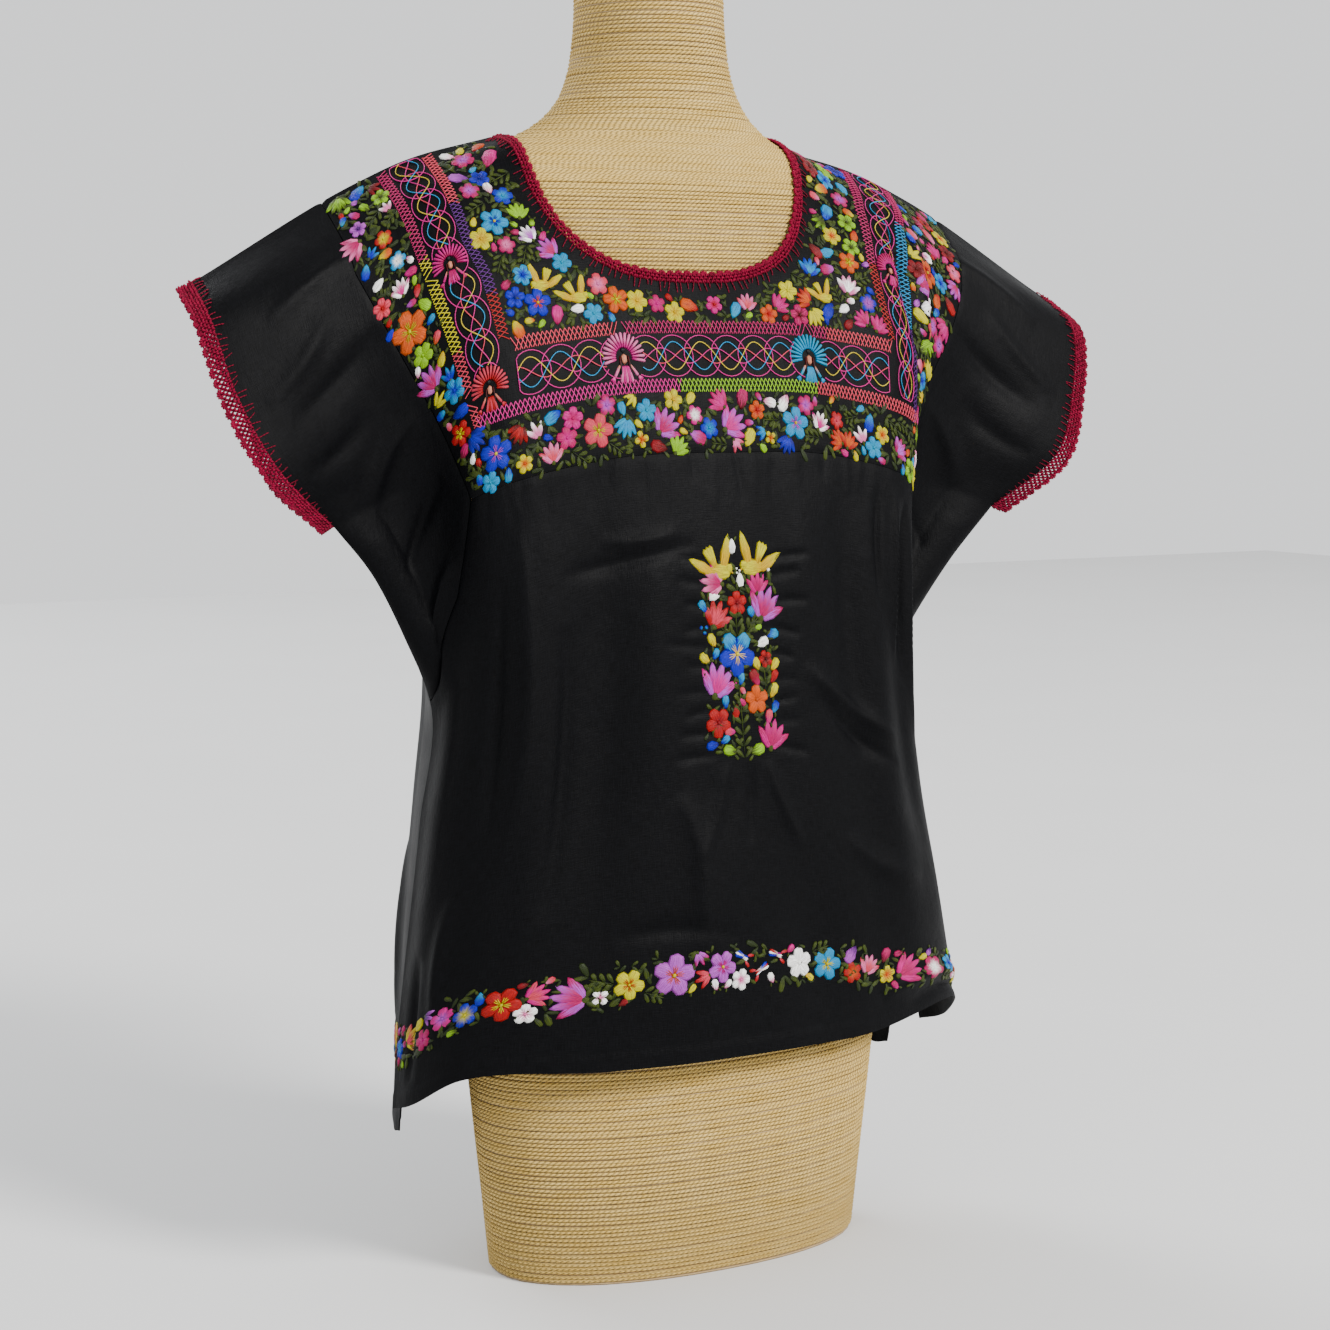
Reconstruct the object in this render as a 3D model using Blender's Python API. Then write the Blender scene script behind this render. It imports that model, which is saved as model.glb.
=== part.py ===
"""Embroidered pull-on top on a limbless dress form, at real size, in metres, Z up.

The top is two T-shaped cloths, front and back, that meet along the shoulder ridge, under the arms and
down the sides. A place on either cloth is given by two lengths on the flat cut: across, out from the
centre line, and down, from the shoulder ridge. A lattice worked out from the section tables carries
the flat cut to where the worn cloth hangs, and every piece is taken from it and given a wall.
The wearer's right is -X. The form faces -Y and stands on Z = 0, with its base centred on the origin.
"""

import math
from collections import namedtuple

import bmesh
import bpy
import numpy as np

# Flat cut of the top
CUFF = 0.390            # centre line to the sleeve's end
CUFF_DEPTH = 0.240      # ridge to the underarm seam, at the sleeve's end
ARMPIT = 0.285          # centre line to the armpit
ARMPIT_DOWN = 0.400
HEM_HALF = 0.300
SLIT_DOWN = 0.620       # the side seams stop here
FRONT_LENGTH = 0.716
BACK_LENGTH = 0.760
YOKE_DOWN = 0.273
NECK_HALF = 0.121       # cut edge of the neck hole
NECK_FRONT = 0.147
NECK_BACK = 0.060
NECK_ROUND = 2.8        # 2 is an ellipse, more is squarer
NECK_ASIDE = -0.008     # the hole's middle lies towards the wearer's right

# Columns of the section tables
MID = 0.110
CORNER = 0.205          # where the front turns to the side
VALLEY = 0.245          # the fold between body and sleeve
MID_Y_POWER = 2.5       # how late the front's curve turns back
MID_Z_POWER = 2.9       # how late it droops

# Walls and gaps
CLOTH = 0.0013
EMBROIDERED = 0.0017
CROCHET = 0.0020
STITCH_RISE = 0.0004    # embroidery and crochet stand above the plain cloth
SEAM_GAP = 0.0003
SLANTED_GAP = 0.0005    # across the flat cut, where a seam lies askew or bends
REST_GAP = 0.0032       # the form's surface to the cloth's outer one, where it rests

# Crochet edging
EDGING = 0.0105
SCALLOP_RISE = 0.0018
SCALLOP_PITCH = 0.0070
POINTS_PER_SCALLOP = 2

# Lattice
ACROSS_PER_SIDE = 120
ACROSS_BEYOND = 8       # columns past the sleeve's end
DOWN_STEP = 0.004

# Stations that neighbouring pieces share, so that their edges run side by side
SEAM_DOWNS = (0.000, 0.010, 0.024, 0.044, 0.072, 0.108, 0.148, 0.190, 0.232, 0.273, 0.307, 0.340, 0.366, 0.386, 0.400)
FOOT_SHARES = (0.00, 0.11, 0.22, 0.33, 0.44, 0.54, 0.64, 0.73, 0.81, 0.88, 0.94, 1.00)
YOKE_SHARES = (0.00, 0.18, 0.36, 0.54, 0.70, 0.84, 0.93, 1.00)

UNDERARM_ROLL = 0.0050  # half the height of the soft roll at the underarm fold
ROLL_SHARE = 0.16       # how far in from the fold it reaches, as a share of the half cut
ROLL_STARTS = CUFF_DEPTH - 0.02
ROLL_FULL = CUFF_DEPTH + 0.03

# How the cloth is pushed clear of the form: rounds that spread each push over its neighbours, and small steps
PUSH_ROUNDS = 3
SPREAD_PASSES = 8
PUSH_STEPS = 14
PUSH_SHARE = 0.4        # of the missing gap, in each step
PROBE = 0.0005          # for the slope of the form's surface

LEAST_LEAN = 0.5        # keeps a seam's shared offset short where the two cloths turn apart
SHARP_EDGE = math.radians(50)

FORM_SIDES = 40

Armhole = namedtuple("Armhole", "down across")
Row = namedtuple("Row", "down centre_y centre_z corner_x corner_y corner_z valley_x valley_y valley_z")
Edge = namedtuple("Edge", "down x y z")
Ring = namedtuple("Ring", "z half_width front_y back_y squareness")
Sway = namedtuple("Sway", "down inward raised")
Fold = namedtuple("Fold", "across_top across_foot down_top down_foot width lift")

# Centre line to the sleeve seam, which leans in beside the yoke and out again below it
ARMHOLE = [
    Armhole(0.000, 0.279),
    Armhole(0.080, 0.274),
    Armhole(0.140, 0.257),
    Armhole(0.200, 0.238),
    Armhole(YOKE_DOWN, 0.216),
    Armhole(0.335, 0.236),
    Armhole(ARMPIT_DOWN, ARMPIT),
]
FRONT = [
    Row(0.000, 0.062, 0.850, 0.200, 0.053, 0.824, 0.236, 0.049, 0.808),
    Row(0.060, 0.008, 0.811, 0.203, 0.004, 0.790, 0.237, 0.006, 0.770),
    Row(0.120, -0.026, 0.761, 0.201, -0.026, 0.740, 0.233, -0.016, 0.718),
    Row(0.176, -0.046, 0.710, 0.197, -0.042, 0.685, 0.223, -0.020, 0.664),
    Row(0.230, -0.062, 0.657, 0.193, -0.050, 0.630, 0.212, -0.020, 0.612),
    Row(0.273, -0.072, 0.614, 0.190, -0.055, 0.587, 0.205, -0.020, 0.571),
    Row(0.340, -0.084, 0.548, 0.186, -0.060, 0.518, 0.201, -0.022, 0.505),
    Row(0.400, -0.090, 0.489, 0.184, -0.062, 0.458, 0.201, -0.026, 0.447),
    Row(0.500, -0.098, 0.389, 0.190, -0.062, 0.362, 0.212, -0.026, 0.350),
    Row(0.600, -0.105, 0.290, 0.202, -0.060, 0.272, 0.222, -0.022, 0.255),
    Row(0.716, -0.111, 0.174, 0.214, -0.054, 0.168, 0.230, -0.018, 0.146),
]
BACK = [
    Row(0.000, 0.062, 0.850, 0.200, 0.053, 0.824, 0.236, 0.049, 0.808),
    Row(0.060, 0.105, 0.817, 0.200, 0.097, 0.783, 0.234, 0.079, 0.767),
    Row(0.120, 0.128, 0.764, 0.193, 0.110, 0.722, 0.223, 0.082, 0.708),
    Row(0.180, 0.137, 0.706, 0.185, 0.114, 0.664, 0.207, 0.080, 0.650),
    Row(0.240, 0.140, 0.647, 0.178, 0.112, 0.606, 0.196, 0.076, 0.595),
    Row(0.273, 0.140, 0.614, 0.175, 0.110, 0.574, 0.191, 0.074, 0.565),
    Row(0.340, 0.139, 0.547, 0.169, 0.105, 0.510, 0.184, 0.067, 0.502),
    Row(0.400, 0.136, 0.487, 0.166, 0.101, 0.452, 0.181, 0.061, 0.443),
    Row(0.500, 0.133, 0.388, 0.175, 0.098, 0.358, 0.193, 0.058, 0.348),
    Row(0.600, 0.130, 0.289, 0.186, 0.096, 0.266, 0.203, 0.058, 0.255),
    Row(0.760, 0.128, 0.132, 0.196, 0.094, 0.116, 0.209, 0.066, 0.106),
]
CUFF_FRONT = [
    Edge(0.000, 0.367, 0.037, 0.734),
    Edge(0.060, 0.368, -0.002, 0.707),
    Edge(0.120, 0.356, -0.019, 0.655),
    Edge(0.180, 0.331, -0.030, 0.605),
    Edge(0.240, 0.284, -0.010, 0.565),
]
CUFF_BACK = [
    Edge(0.000, 0.367, 0.037, 0.734),
    Edge(0.060, 0.341, 0.048, 0.692),
    Edge(0.120, 0.318, 0.043, 0.645),
    Edge(0.180, 0.306, 0.031, 0.598),
    Edge(0.240, 0.284, -0.010, 0.565),
]
UNDERARM_AND_SIDE = [
    Edge(0.240, 0.284, -0.010, 0.565),
    Edge(0.300, 0.251, -0.006, 0.526),
    Edge(0.350, 0.226, -0.002, 0.481),
    Edge(0.400, 0.206, 0.001, 0.436),
    Edge(0.500, 0.210, 0.012, 0.344),
    Edge(0.620, 0.221, 0.020, 0.230),
]
SLIT_FRONT = [
    Edge(0.620, 0.221, 0.020, 0.230),
    Edge(0.660, 0.226, 0.020, 0.190),
    Edge(0.716, 0.231, 0.018, 0.134),
]
SLIT_BACK = [
    Edge(0.620, 0.221, 0.020, 0.230),
    Edge(0.680, 0.219, 0.027, 0.172),
    Edge(0.760, 0.214, 0.046, 0.108),
]
FORM = [
    Ring(0.000, 0.152, -0.072, 0.084, 2.20),
    Ring(0.140, 0.167, -0.083, 0.094, 2.20),
    Ring(0.220, 0.175, -0.089, 0.101, 2.20),
    Ring(0.300, 0.165, -0.084, 0.096, 2.20),
    Ring(0.370, 0.143, -0.076, 0.082, 2.20),
    Ring(0.430, 0.127, -0.068, 0.072, 2.20),
    Ring(0.490, 0.132, -0.070, 0.084, 2.20),
    Ring(0.550, 0.147, -0.071, 0.108, 2.30),
    Ring(0.600, 0.157, -0.064, 0.125, 2.40),
    Ring(0.650, 0.160, -0.053, 0.130, 2.40),
    Ring(0.695, 0.166, -0.044, 0.131, 2.30),
    Ring(0.730, 0.177, -0.035, 0.127, 2.15),
    Ring(0.760, 0.188, -0.026, 0.121, 2.00),
    Ring(0.782, 0.193, -0.020, 0.116, 1.88),
    Ring(0.799, 0.190, -0.016, 0.113, 1.78),
    Ring(0.812, 0.180, -0.014, 0.111, 1.70),
    Ring(0.822, 0.165, -0.013, 0.109, 1.66),
    Ring(0.831, 0.146, -0.013, 0.107, 1.65),
    Ring(0.839, 0.125, -0.013, 0.106, 1.66),
    Ring(0.847, 0.106, -0.013, 0.105, 1.70),
    Ring(0.857, 0.089, -0.013, 0.104, 1.80),
    Ring(0.871, 0.074, -0.013, 0.103, 1.90),
    Ring(0.891, 0.063, -0.012, 0.102, 2.00),
    Ring(0.920, 0.057, -0.011, 0.101, 2.00),
    Ring(0.972, 0.055, -0.010, 0.100, 2.00),
]
NECK_CAP_BEVEL = 0.003

# The wearer's left side hangs nearer to the centre line, and higher, than the right by this much
LEFT_SWAY = [
    Sway(0.000, 0.000, 0.002),
    Sway(0.100, 0.004, 0.000),
    Sway(0.200, 0.009, 0.000),
    Sway(0.273, 0.014, 0.000),
    Sway(0.400, 0.015, 0.000),
    Sway(0.500, 0.011, 0.002),
    Sway(0.600, 0.003, 0.006),
    Sway(0.716, -0.008, 0.012),
]
SWAY_STARTS = 0.080     # across, from the centre line

# Folds that stand out of the cloth, or sink into it where the lift is negative; across is signed
FRONT_FOLDS = [
    Fold(-0.160, -0.185, 0.290, 0.760, 0.026, 0.0050),
    Fold(-0.120, -0.135, 0.300, 0.700, 0.026, -0.0045),
    Fold(-0.070, -0.085, 0.290, 0.560, 0.020, 0.0025),
    Fold(0.060, 0.070, 0.290, 0.440, 0.016, 0.0022),
    Fold(0.105, 0.115, 0.285, 0.520, 0.016, -0.0030),
    Fold(0.140, 0.155, 0.285, 0.760, 0.020, 0.0045),
    Fold(0.172, 0.185, 0.290, 0.640, 0.014, -0.0035),
    Fold(-0.020, -0.060, 0.520, 0.780, 0.030, 0.0040),
    Fold(0.045, 0.080, 0.540, 0.780, 0.028, -0.0040),
]
BACK_FOLDS = [
    Fold(-0.150, -0.175, 0.290, 0.800, 0.026, 0.0055),
    Fold(-0.100, -0.110, 0.290, 0.740, 0.024, -0.0050),
    Fold(-0.045, -0.055, 0.290, 0.800, 0.024, 0.0045),
    Fold(0.010, 0.020, 0.290, 0.640, 0.020, -0.0035),
    Fold(0.060, 0.080, 0.290, 0.800, 0.024, 0.0050),
    Fold(0.115, 0.130, 0.290, 0.700, 0.022, -0.0045),
    Fold(0.155, 0.175, 0.290, 0.800, 0.024, 0.0050),
]

BLACK_CLOTH = (0.012, 0.012, 0.015)
EMBROIDERY_GROUND = (0.30, 0.06, 0.12)
CROCHET_RED = (0.45, 0.01, 0.03)
STRAW_CORD = (0.62, 0.46, 0.25)


def through(knots, values, at):
    """The smooth curve through the values at the knots, read at each number of at; straight past both ends."""
    knots = np.asarray(knots, float)
    values = np.asarray(values, float)
    at = np.atleast_1d(np.asarray(at, float))
    slopes = np.gradient(values, knots, axis=0)
    inside = np.clip(at, knots[0], knots[-1])
    span = np.clip(np.searchsorted(knots, inside, side="right") - 1, 0, len(knots) - 2)
    width = (knots[span + 1] - knots[span])[:, None]
    part = (inside - knots[span])[:, None] / width
    square = part * part
    cube = square * part
    curve = (
        (2 * cube - 3 * square + 1) * values[span]
        + (cube - 2 * square + part) * width * slopes[span]
        + (3 * square - 2 * cube) * values[span + 1]
        + (cube - square) * width * slopes[span + 1]
    )
    end_slope = np.where((at < knots[0])[:, None], slopes[0], slopes[-1])
    return curve + (at - inside)[:, None] * end_slope


def read_rows(rows, down):
    """One row of a table at a distance down, without its first column."""
    table = np.array(rows, float)
    return through(table[:, 0], table[:, 1:], down)[0]


def smooth_step(value, low, high):
    """0 up to low, 1 from high, and a smooth rise between."""
    share = np.clip((value - low) / (high - low), 0, 1)
    return share * share * (3 - 2 * share)


def half_cut(down):
    """Centre line to the outer edge of the flat cut, at a distance down."""
    return np.interp(down, (CUFF_DEPTH, ARMPIT_DOWN, BACK_LENGTH), (CUFF, ARMPIT, HEM_HALF))


def half_armhole(down):
    """Centre line to the sleeve seam, at a distance down from the ridge to the armpit."""
    table = np.array(ARMHOLE)
    return np.interp(down, table[:, 0], table[:, 1])


def form_ratio(points):
    """1 on the dress form's surface, less inside it and more outside."""
    table = np.array(FORM)
    half_width, front, back, power = through(table[:, 0], table[:, 1:], points[:, 2]).T
    off_centre = np.abs(points[:, 1] - (front + back) / 2) / ((back - front) / 2)
    return ((np.abs(points[:, 0]) / half_width) ** power + off_centre ** power) ** (1 / power)


def clear_of_form(lattice):
    """The lattice, with points nearer to the form than the rest gap moved out from it, to the front or up."""
    points = lattice.reshape(-1, 3).copy()
    for _ in range(PUSH_STEPS):
        ratio = form_ratio(points)
        slope = np.zeros_like(points)
        for axis in (1, 2):
            aside = PROBE * np.eye(3)[axis]
            slope[:, axis] = (form_ratio(points + aside) - form_ratio(points - aside)) / (2 * PROBE)
        steepness = np.linalg.norm(slope, axis=1)
        short = REST_GAP - (ratio - 1) / steepness
        points += slope / steepness[:, None] * (PUSH_SHARE * np.maximum(short, 0))[:, None]
    return points.reshape(lattice.shape)


def spread_out(moves, passes):
    """Moves over a lattice, each pass mixing every one with its neighbours."""
    for _ in range(passes):
        for axis in (0, 1):
            width = [(1, 1) if axis == here else (0, 0) for here in range(3)]
            padded = np.pad(moves, width, mode="edge")
            before, after = (np.take(padded, range(first, first + moves.shape[axis]), axis=axis) for first in (0, 2))
            moves = (before + 2 * moves + after) / 4
    return moves


class Cloth:
    """The front or the back cloth, as a lattice of points with the outward offset at each."""

    def __init__(self, rows, cuff, slit, folds, outward):
        self.across = np.arange(-ACROSS_PER_SIDE - ACROSS_BEYOND, ACROSS_PER_SIDE + ACROSS_BEYOND + 1) / ACROSS_PER_SIDE
        self.down = np.arange(round(BACK_LENGTH / DOWN_STEP) + 1) * DOWN_STEP
        self.outward = outward
        lines = [self.line(rows, self.edge(cuff, slit, down), down) for down in self.down]
        self.points = np.array(lines)
        self.points += self.normals() * self.fold_lift(folds)[:, :, None]
        for _ in range(PUSH_ROUNDS):
            self.points += spread_out(clear_of_form(self.points) - self.points, SPREAD_PASSES)
        self.points = clear_of_form(self.points)
        self.offset = self.normals()

    def edge(self, cuff, slit, down):
        """Where the cloth's outer edge hangs."""
        if down <= CUFF_DEPTH:
            return read_rows(cuff, down)
        return read_rows(UNDERARM_AND_SIDE if down <= SLIT_DOWN else slit, down)

    def line(self, rows, edge, down):
        """The lattice's points at one distance down, from the wearer's right to their left."""
        centre_y, centre_z, *places = read_rows(rows, down)
        corner, valley = np.array(places[:3]), np.array(places[3:])
        centre = np.array((0, centre_y, centre_z))
        share = MID / CORNER
        middle = centre + (corner - centre) * (share, share ** MID_Y_POWER, share ** MID_Z_POWER)
        mirrored = middle * (-1, 1, 1)
        knots = (-MID, 0, MID, CORNER, VALLEY, half_cut(down))
        across = self.across * half_cut(down)
        found = through(knots, (mirrored, centre, middle, corner, valley, edge), np.abs(across))
        found[:, 1] += self.outward * self.roll(down)
        found[:, ::2] += self.sway(across, down)
        return found * np.stack([np.sign(across), np.ones_like(across), np.ones_like(across)], axis=1)

    def sway(self, across, down):
        """(x, z) shift of each point of a line, none on the wearer's right or at the cuffs."""
        inward, raised = read_rows(LEFT_SWAY, down)
        share = smooth_step(across, SWAY_STARTS, CORNER)
        if down < ARMPIT_DOWN:
            held = smooth_step(across, VALLEY, half_cut(down))
            share *= 1 - held * (1 - smooth_step(down, YOKE_DOWN, ARMPIT_DOWN))
        return share[:, None] * (-inward, raised)

    def roll(self, down):
        """How far the underarm fold's soft roll stands out from the line between its two sides."""
        inward = np.clip((1 - np.abs(self.across)) / ROLL_SHARE, 0, 1)
        along = np.interp(down, (ROLL_STARTS, ROLL_FULL, ARMPIT_DOWN, SLIT_DOWN), (0, 1, 1, 0))
        return UNDERARM_ROLL * along * np.sqrt(np.sin(math.pi * inward))

    def normals(self):
        """Unit vectors out of the cloth."""
        sideways = np.gradient(self.points, axis=1)
        downwards = np.gradient(self.points, axis=0)
        out = self.outward * np.cross(sideways, downwards)
        return out / np.linalg.norm(out, axis=2, keepdims=True)

    def fold_lift(self, folds):
        """How far the folds lift each lattice point."""
        down = self.down[:, None]
        across = self.across[None, :] * half_cut(self.down)[:, None]
        lift = np.zeros_like(across)
        for fold in folds:
            share = np.clip((down - fold.down_top) / (fold.down_foot - fold.down_top), 0, 1)
            middle = fold.across_top + (fold.across_foot - fold.across_top) * share
            lift += fold.lift * np.sin(math.pi * share ** 0.8) ** 1.5 * np.exp(-(((across - middle) / fold.width) ** 2))
        return lift

    def place(self, across, down, lift=0.0):
        """Where points of the flat cut hang, lifted off the cloth."""
        across, down = np.broadcast_arrays(np.asarray(across, float), np.asarray(down, float))
        column = across / half_cut(down) * ACROSS_PER_SIDE + ACROSS_PER_SIDE + ACROSS_BEYOND
        row = down / DOWN_STEP
        left = np.clip(column.astype(int), 0, len(self.across) - 2)
        top = np.clip(row.astype(int), 0, len(self.down) - 2)
        right_share = (column - left)[..., None]
        low_share = (row - top)[..., None]

        def mix(table):
            upper = table[top, left] * (1 - right_share) + table[top, left + 1] * right_share
            lower = table[top + 1, left] * (1 - right_share) + table[top + 1, left + 1] * right_share
            return upper * (1 - low_share) + lower * low_share

        return mix(self.points) + mix(self.offset) * np.asarray(lift)[..., None]


def share_seams(front, back):
    """Gives both cloths the same outward offset along the ridge, the underarms and the side seams."""
    rows = slice(round(CUFF_DEPTH / DOWN_STEP), round(SLIT_DOWN / DOWN_STEP) + 1)
    ends = (ACROSS_BEYOND, len(front.across) - 1 - ACROSS_BEYOND)
    for seam in [(0, slice(None))] + [(rows, end) for end in ends]:
        both = front.offset[seam] + back.offset[seam]
        both /= np.linalg.norm(both, axis=-1, keepdims=True)
        lean = np.sum(both * front.offset[seam], axis=-1, keepdims=True)
        front.offset[seam] = back.offset[seam] = both / np.maximum(lean, LEAST_LEAN)


def material(name, colour, roughness):
    """A plain finish of one colour."""
    made = bpy.data.materials.new(name)
    made.use_nodes = True
    shader = made.node_tree.nodes["Principled BSDF"]
    shader.inputs["Base Color"].default_value = (*colour, 1)
    shader.inputs["Roughness"].default_value = roughness
    shader.inputs["Metallic"].default_value = 0.0
    return made


def add_object(name, vertices, faces, finish):
    """A closed body with its faces outwards, smooth except at its rims."""
    mesh = bpy.data.meshes.new(name)
    mesh.from_pydata([tuple(v) for v in vertices], [], faces)
    built = bmesh.new()
    built.from_mesh(mesh)
    bmesh.ops.recalc_face_normals(built, faces=built.faces)
    built.to_mesh(mesh)
    built.free()
    mesh.shade_smooth()
    mesh.set_sharp_from_angle(angle=SHARP_EDGE)
    mesh.materials.append(finish)
    made = bpy.data.objects.new(name, mesh)
    bpy.context.scene.collection.objects.link(made)
    return made


def wall(name, outer, inner, finish, ring=False):
    """A closed wall between two grids of points. A ring joins the last row to the first."""
    rows, columns = outer.shape[:2]
    last = rows if ring else rows - 1
    inside = rows * columns

    def at(row, column):
        return (row % rows) * columns + column

    faces = []
    for row in range(last):
        for column in range(columns - 1):
            first, second, third, fourth = (
                at(row, column), at(row + 1, column), at(row + 1, column + 1), at(row, column + 1)
            )
            for half in ((first, second, third), (first, third, fourth)):
                faces.append(half)
                faces.append(tuple(inside + corner for corner in reversed(half)))
        for column in (0, columns - 1):
            here, there = at(row, column), at(row + 1, column)
            faces.append((here, there, inside + there, inside + here))
    if not ring:
        for row in (0, rows - 1):
            for column in range(columns - 1):
                here, there = at(row, column), at(row, column + 1)
                faces.append((here, there, inside + there, inside + here))
    return add_object(name, np.concatenate([outer.reshape(-1, 3), inner.reshape(-1, 3)]), faces, finish)


def mirrored_shares(shares):
    """The shares on the wearer's right as negatives, then those on their left."""
    shares = np.array(shares)
    return np.concatenate([-shares[:0:-1], shares])


def yoke_stations(neck_depth):
    """Matching (across, down) stations round the yoke: on the neck hole, and on the outer seams."""
    gap = SEAM_GAP / 2
    side = np.array([down for down in SEAM_DOWNS if down < YOKE_DOWN])
    side[0] = gap
    side_across = half_armhole(side) - SLANTED_GAP / 2
    foot = mirrored_shares(FOOT_SHARES) * (half_armhole(YOKE_DOWN) - SLANTED_GAP / 2)
    out_across = np.concatenate([-side_across, foot, side_across[::-1]])
    out_down = np.concatenate([side, np.full(len(foot), YOKE_DOWN - gap), side[::-1]])
    turn = np.arctan2(out_down - gap, -out_across)
    cosine, sine = -np.cos(turn), np.sin(turn)
    in_across = NECK_ASIDE + NECK_HALF * np.sign(cosine) * np.abs(cosine) ** (2 / NECK_ROUND)
    in_down = np.maximum(neck_depth * np.abs(sine) ** (2 / NECK_ROUND), gap)
    return (in_across, in_down), (out_across, out_down)


def make_yoke(name, cloth, neck_depth, finish):
    """A square of cloth round half the neck hole, from the hole's edge to the sleeves and the body."""
    (in_across, in_down), (out_across, out_down) = yoke_stations(neck_depth)
    share = np.array(YOKE_SHARES)[:, None]
    across = (in_across * (1 - share) + out_across * share).T
    down = (in_down * (1 - share) + out_down * share).T
    outer = cloth.place(across, down, STITCH_RISE)
    inner = cloth.place(across, down, STITCH_RISE - EMBROIDERED)
    return wall(name, outer, inner, finish)


def make_body(name, cloth, length, finish):
    """A body panel from the yoke seam to the hem, with the sleeve seams, side seams and slits."""
    shares = mirrored_shares(FOOT_SHARES)
    beside_sleeve = [down for down in SEAM_DOWNS if down >= YOKE_DOWN]
    beside_sleeve[0] += SEAM_GAP / 2
    downs = np.concatenate([beside_sleeve, np.linspace(ARMPIT_DOWN, length, 9)[1:]])
    down = np.repeat(downs[:, None], len(shares), axis=1)
    reach = np.where(down < ARMPIT_DOWN, half_armhole(down), half_cut(down)) - SLANTED_GAP / 2
    across = shares[None, :] * reach
    return wall(name, cloth.place(across, down), cloth.place(across, down, -CLOTH), finish)


def sleeve_flat(out_share, low_share):
    """(across, down) of a sleeve: out_share runs from its seam to the cuff, low_share from ridge to underarm."""
    down = low_share * (ARMPIT_DOWN * (1 - out_share) + CUFF_DEPTH * out_share)
    across = half_armhole(low_share * ARMPIT_DOWN) * (1 - out_share) + CUFF * out_share
    return across, down


def sleeve_loop(front, back):
    """The cloth and the low share at each station round a sleeve, from the ridge down the front."""
    low_shares = np.array(SEAM_DOWNS) / ARMPIT_DOWN
    return [(front, low) for low in low_shares] + [(back, low) for low in low_shares[-2:0:-1]]


def make_sleeve(name, front, back, side, finish):
    """A wide sleeve in one piece, folded along the ridge and closed under the arm."""
    out_share = np.linspace(SLANTED_GAP / (2 * (CUFF - ARMPIT)), 1, 7)
    outer, inner = [], []
    for cloth, low in sleeve_loop(front, back):
        across, down = sleeve_flat(out_share, low)
        outer.append(cloth.place(side * across, down))
        inner.append(cloth.place(side * across, down, -CLOTH))
    return wall(name, np.array(outer), np.array(inner), finish, ring=True)


def make_edging(name, edge, beyond, offset, finish):
    """A crochet band along a loop of cut edge: a gap, a flat band, and a row of scallops.

    It is given at the same stations as the cloth's own edge, and follows straight lines between them.
    """
    edge, beyond, offset = (np.concatenate([values, values[:1]]) for values in (edge, beyond, offset))
    beyond /= np.linalg.norm(beyond, axis=1, keepdims=True)
    travelled = np.concatenate([[0], np.cumsum(np.linalg.norm(np.diff(edge, axis=0), axis=1))])
    count = round(travelled[-1] / SCALLOP_PITCH) * POINTS_PER_SCALLOP
    stations = np.arange(count) * travelled[-1] / count
    edge, beyond, offset = (
        np.stack([np.interp(stations, travelled, values[:, axis]) for axis in range(3)], axis=1)
        for values in (edge, beyond, offset)
    )
    crest = np.arange(count) % POINTS_PER_SCALLOP == 0
    outer, inner = [], []
    for reach in (np.full(count, SLANTED_GAP), EDGING - SCALLOP_RISE * ~crest):
        line = edge + beyond * reach[:, None]
        outer.append(line + offset * STITCH_RISE)
        inner.append(line + offset * (STITCH_RISE - CROCHET))
    return wall(name, np.stack(outer, axis=1), np.stack(inner, axis=1), finish, ring=True)


def make_neck_edging(front, back, finish):
    """The edging round the neck hole. It is worked inwards, over both yokes' cut edges."""
    edge, inward, offset = [], [], []
    for cloth, depth, along in ((front, NECK_FRONT, slice(None)), (back, NECK_BACK, slice(None, None, -1))):
        across, down = (values[along] for values in yoke_stations(depth)[0])
        rim = cloth.place(across, down)
        shrink = 1 - EDGING / np.hypot(across - NECK_ASIDE, down)
        in_across = NECK_ASIDE + (across - NECK_ASIDE) * shrink
        edge.append(rim)
        inward.append(cloth.place(in_across, down * shrink) - rim)
        offset.append(cloth.place(across, down, 1.0) - rim)
    return make_edging("neck_crochet", *(np.concatenate(parts) for parts in (edge, inward, offset)), finish)


def make_cuff_edging(name, front, back, side, finish):
    """The edging of one sleeve. Towards the underarm its front and back turn the same way, and meet."""
    edge, outward, offset = [], [], []
    for cloth, low in sleeve_loop(front, back):
        down = low * CUFF_DEPTH
        rim = cloth.place(side * CUFF, down)
        onward = [own.place(side * (CUFF + EDGING), down) - own.place(side * CUFF, down) for own in (front, back)]
        own_way = onward[0] if cloth is front else onward[1]
        edge.append(rim)
        outward.append(own_way + (sum(onward) / 2 - own_way) * low ** 2)
        offset.append(cloth.place(side * CUFF, down, 1.0) - rim)
    return make_edging(name, *(np.array(parts) for parts in (edge, outward, offset)), finish)


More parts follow.
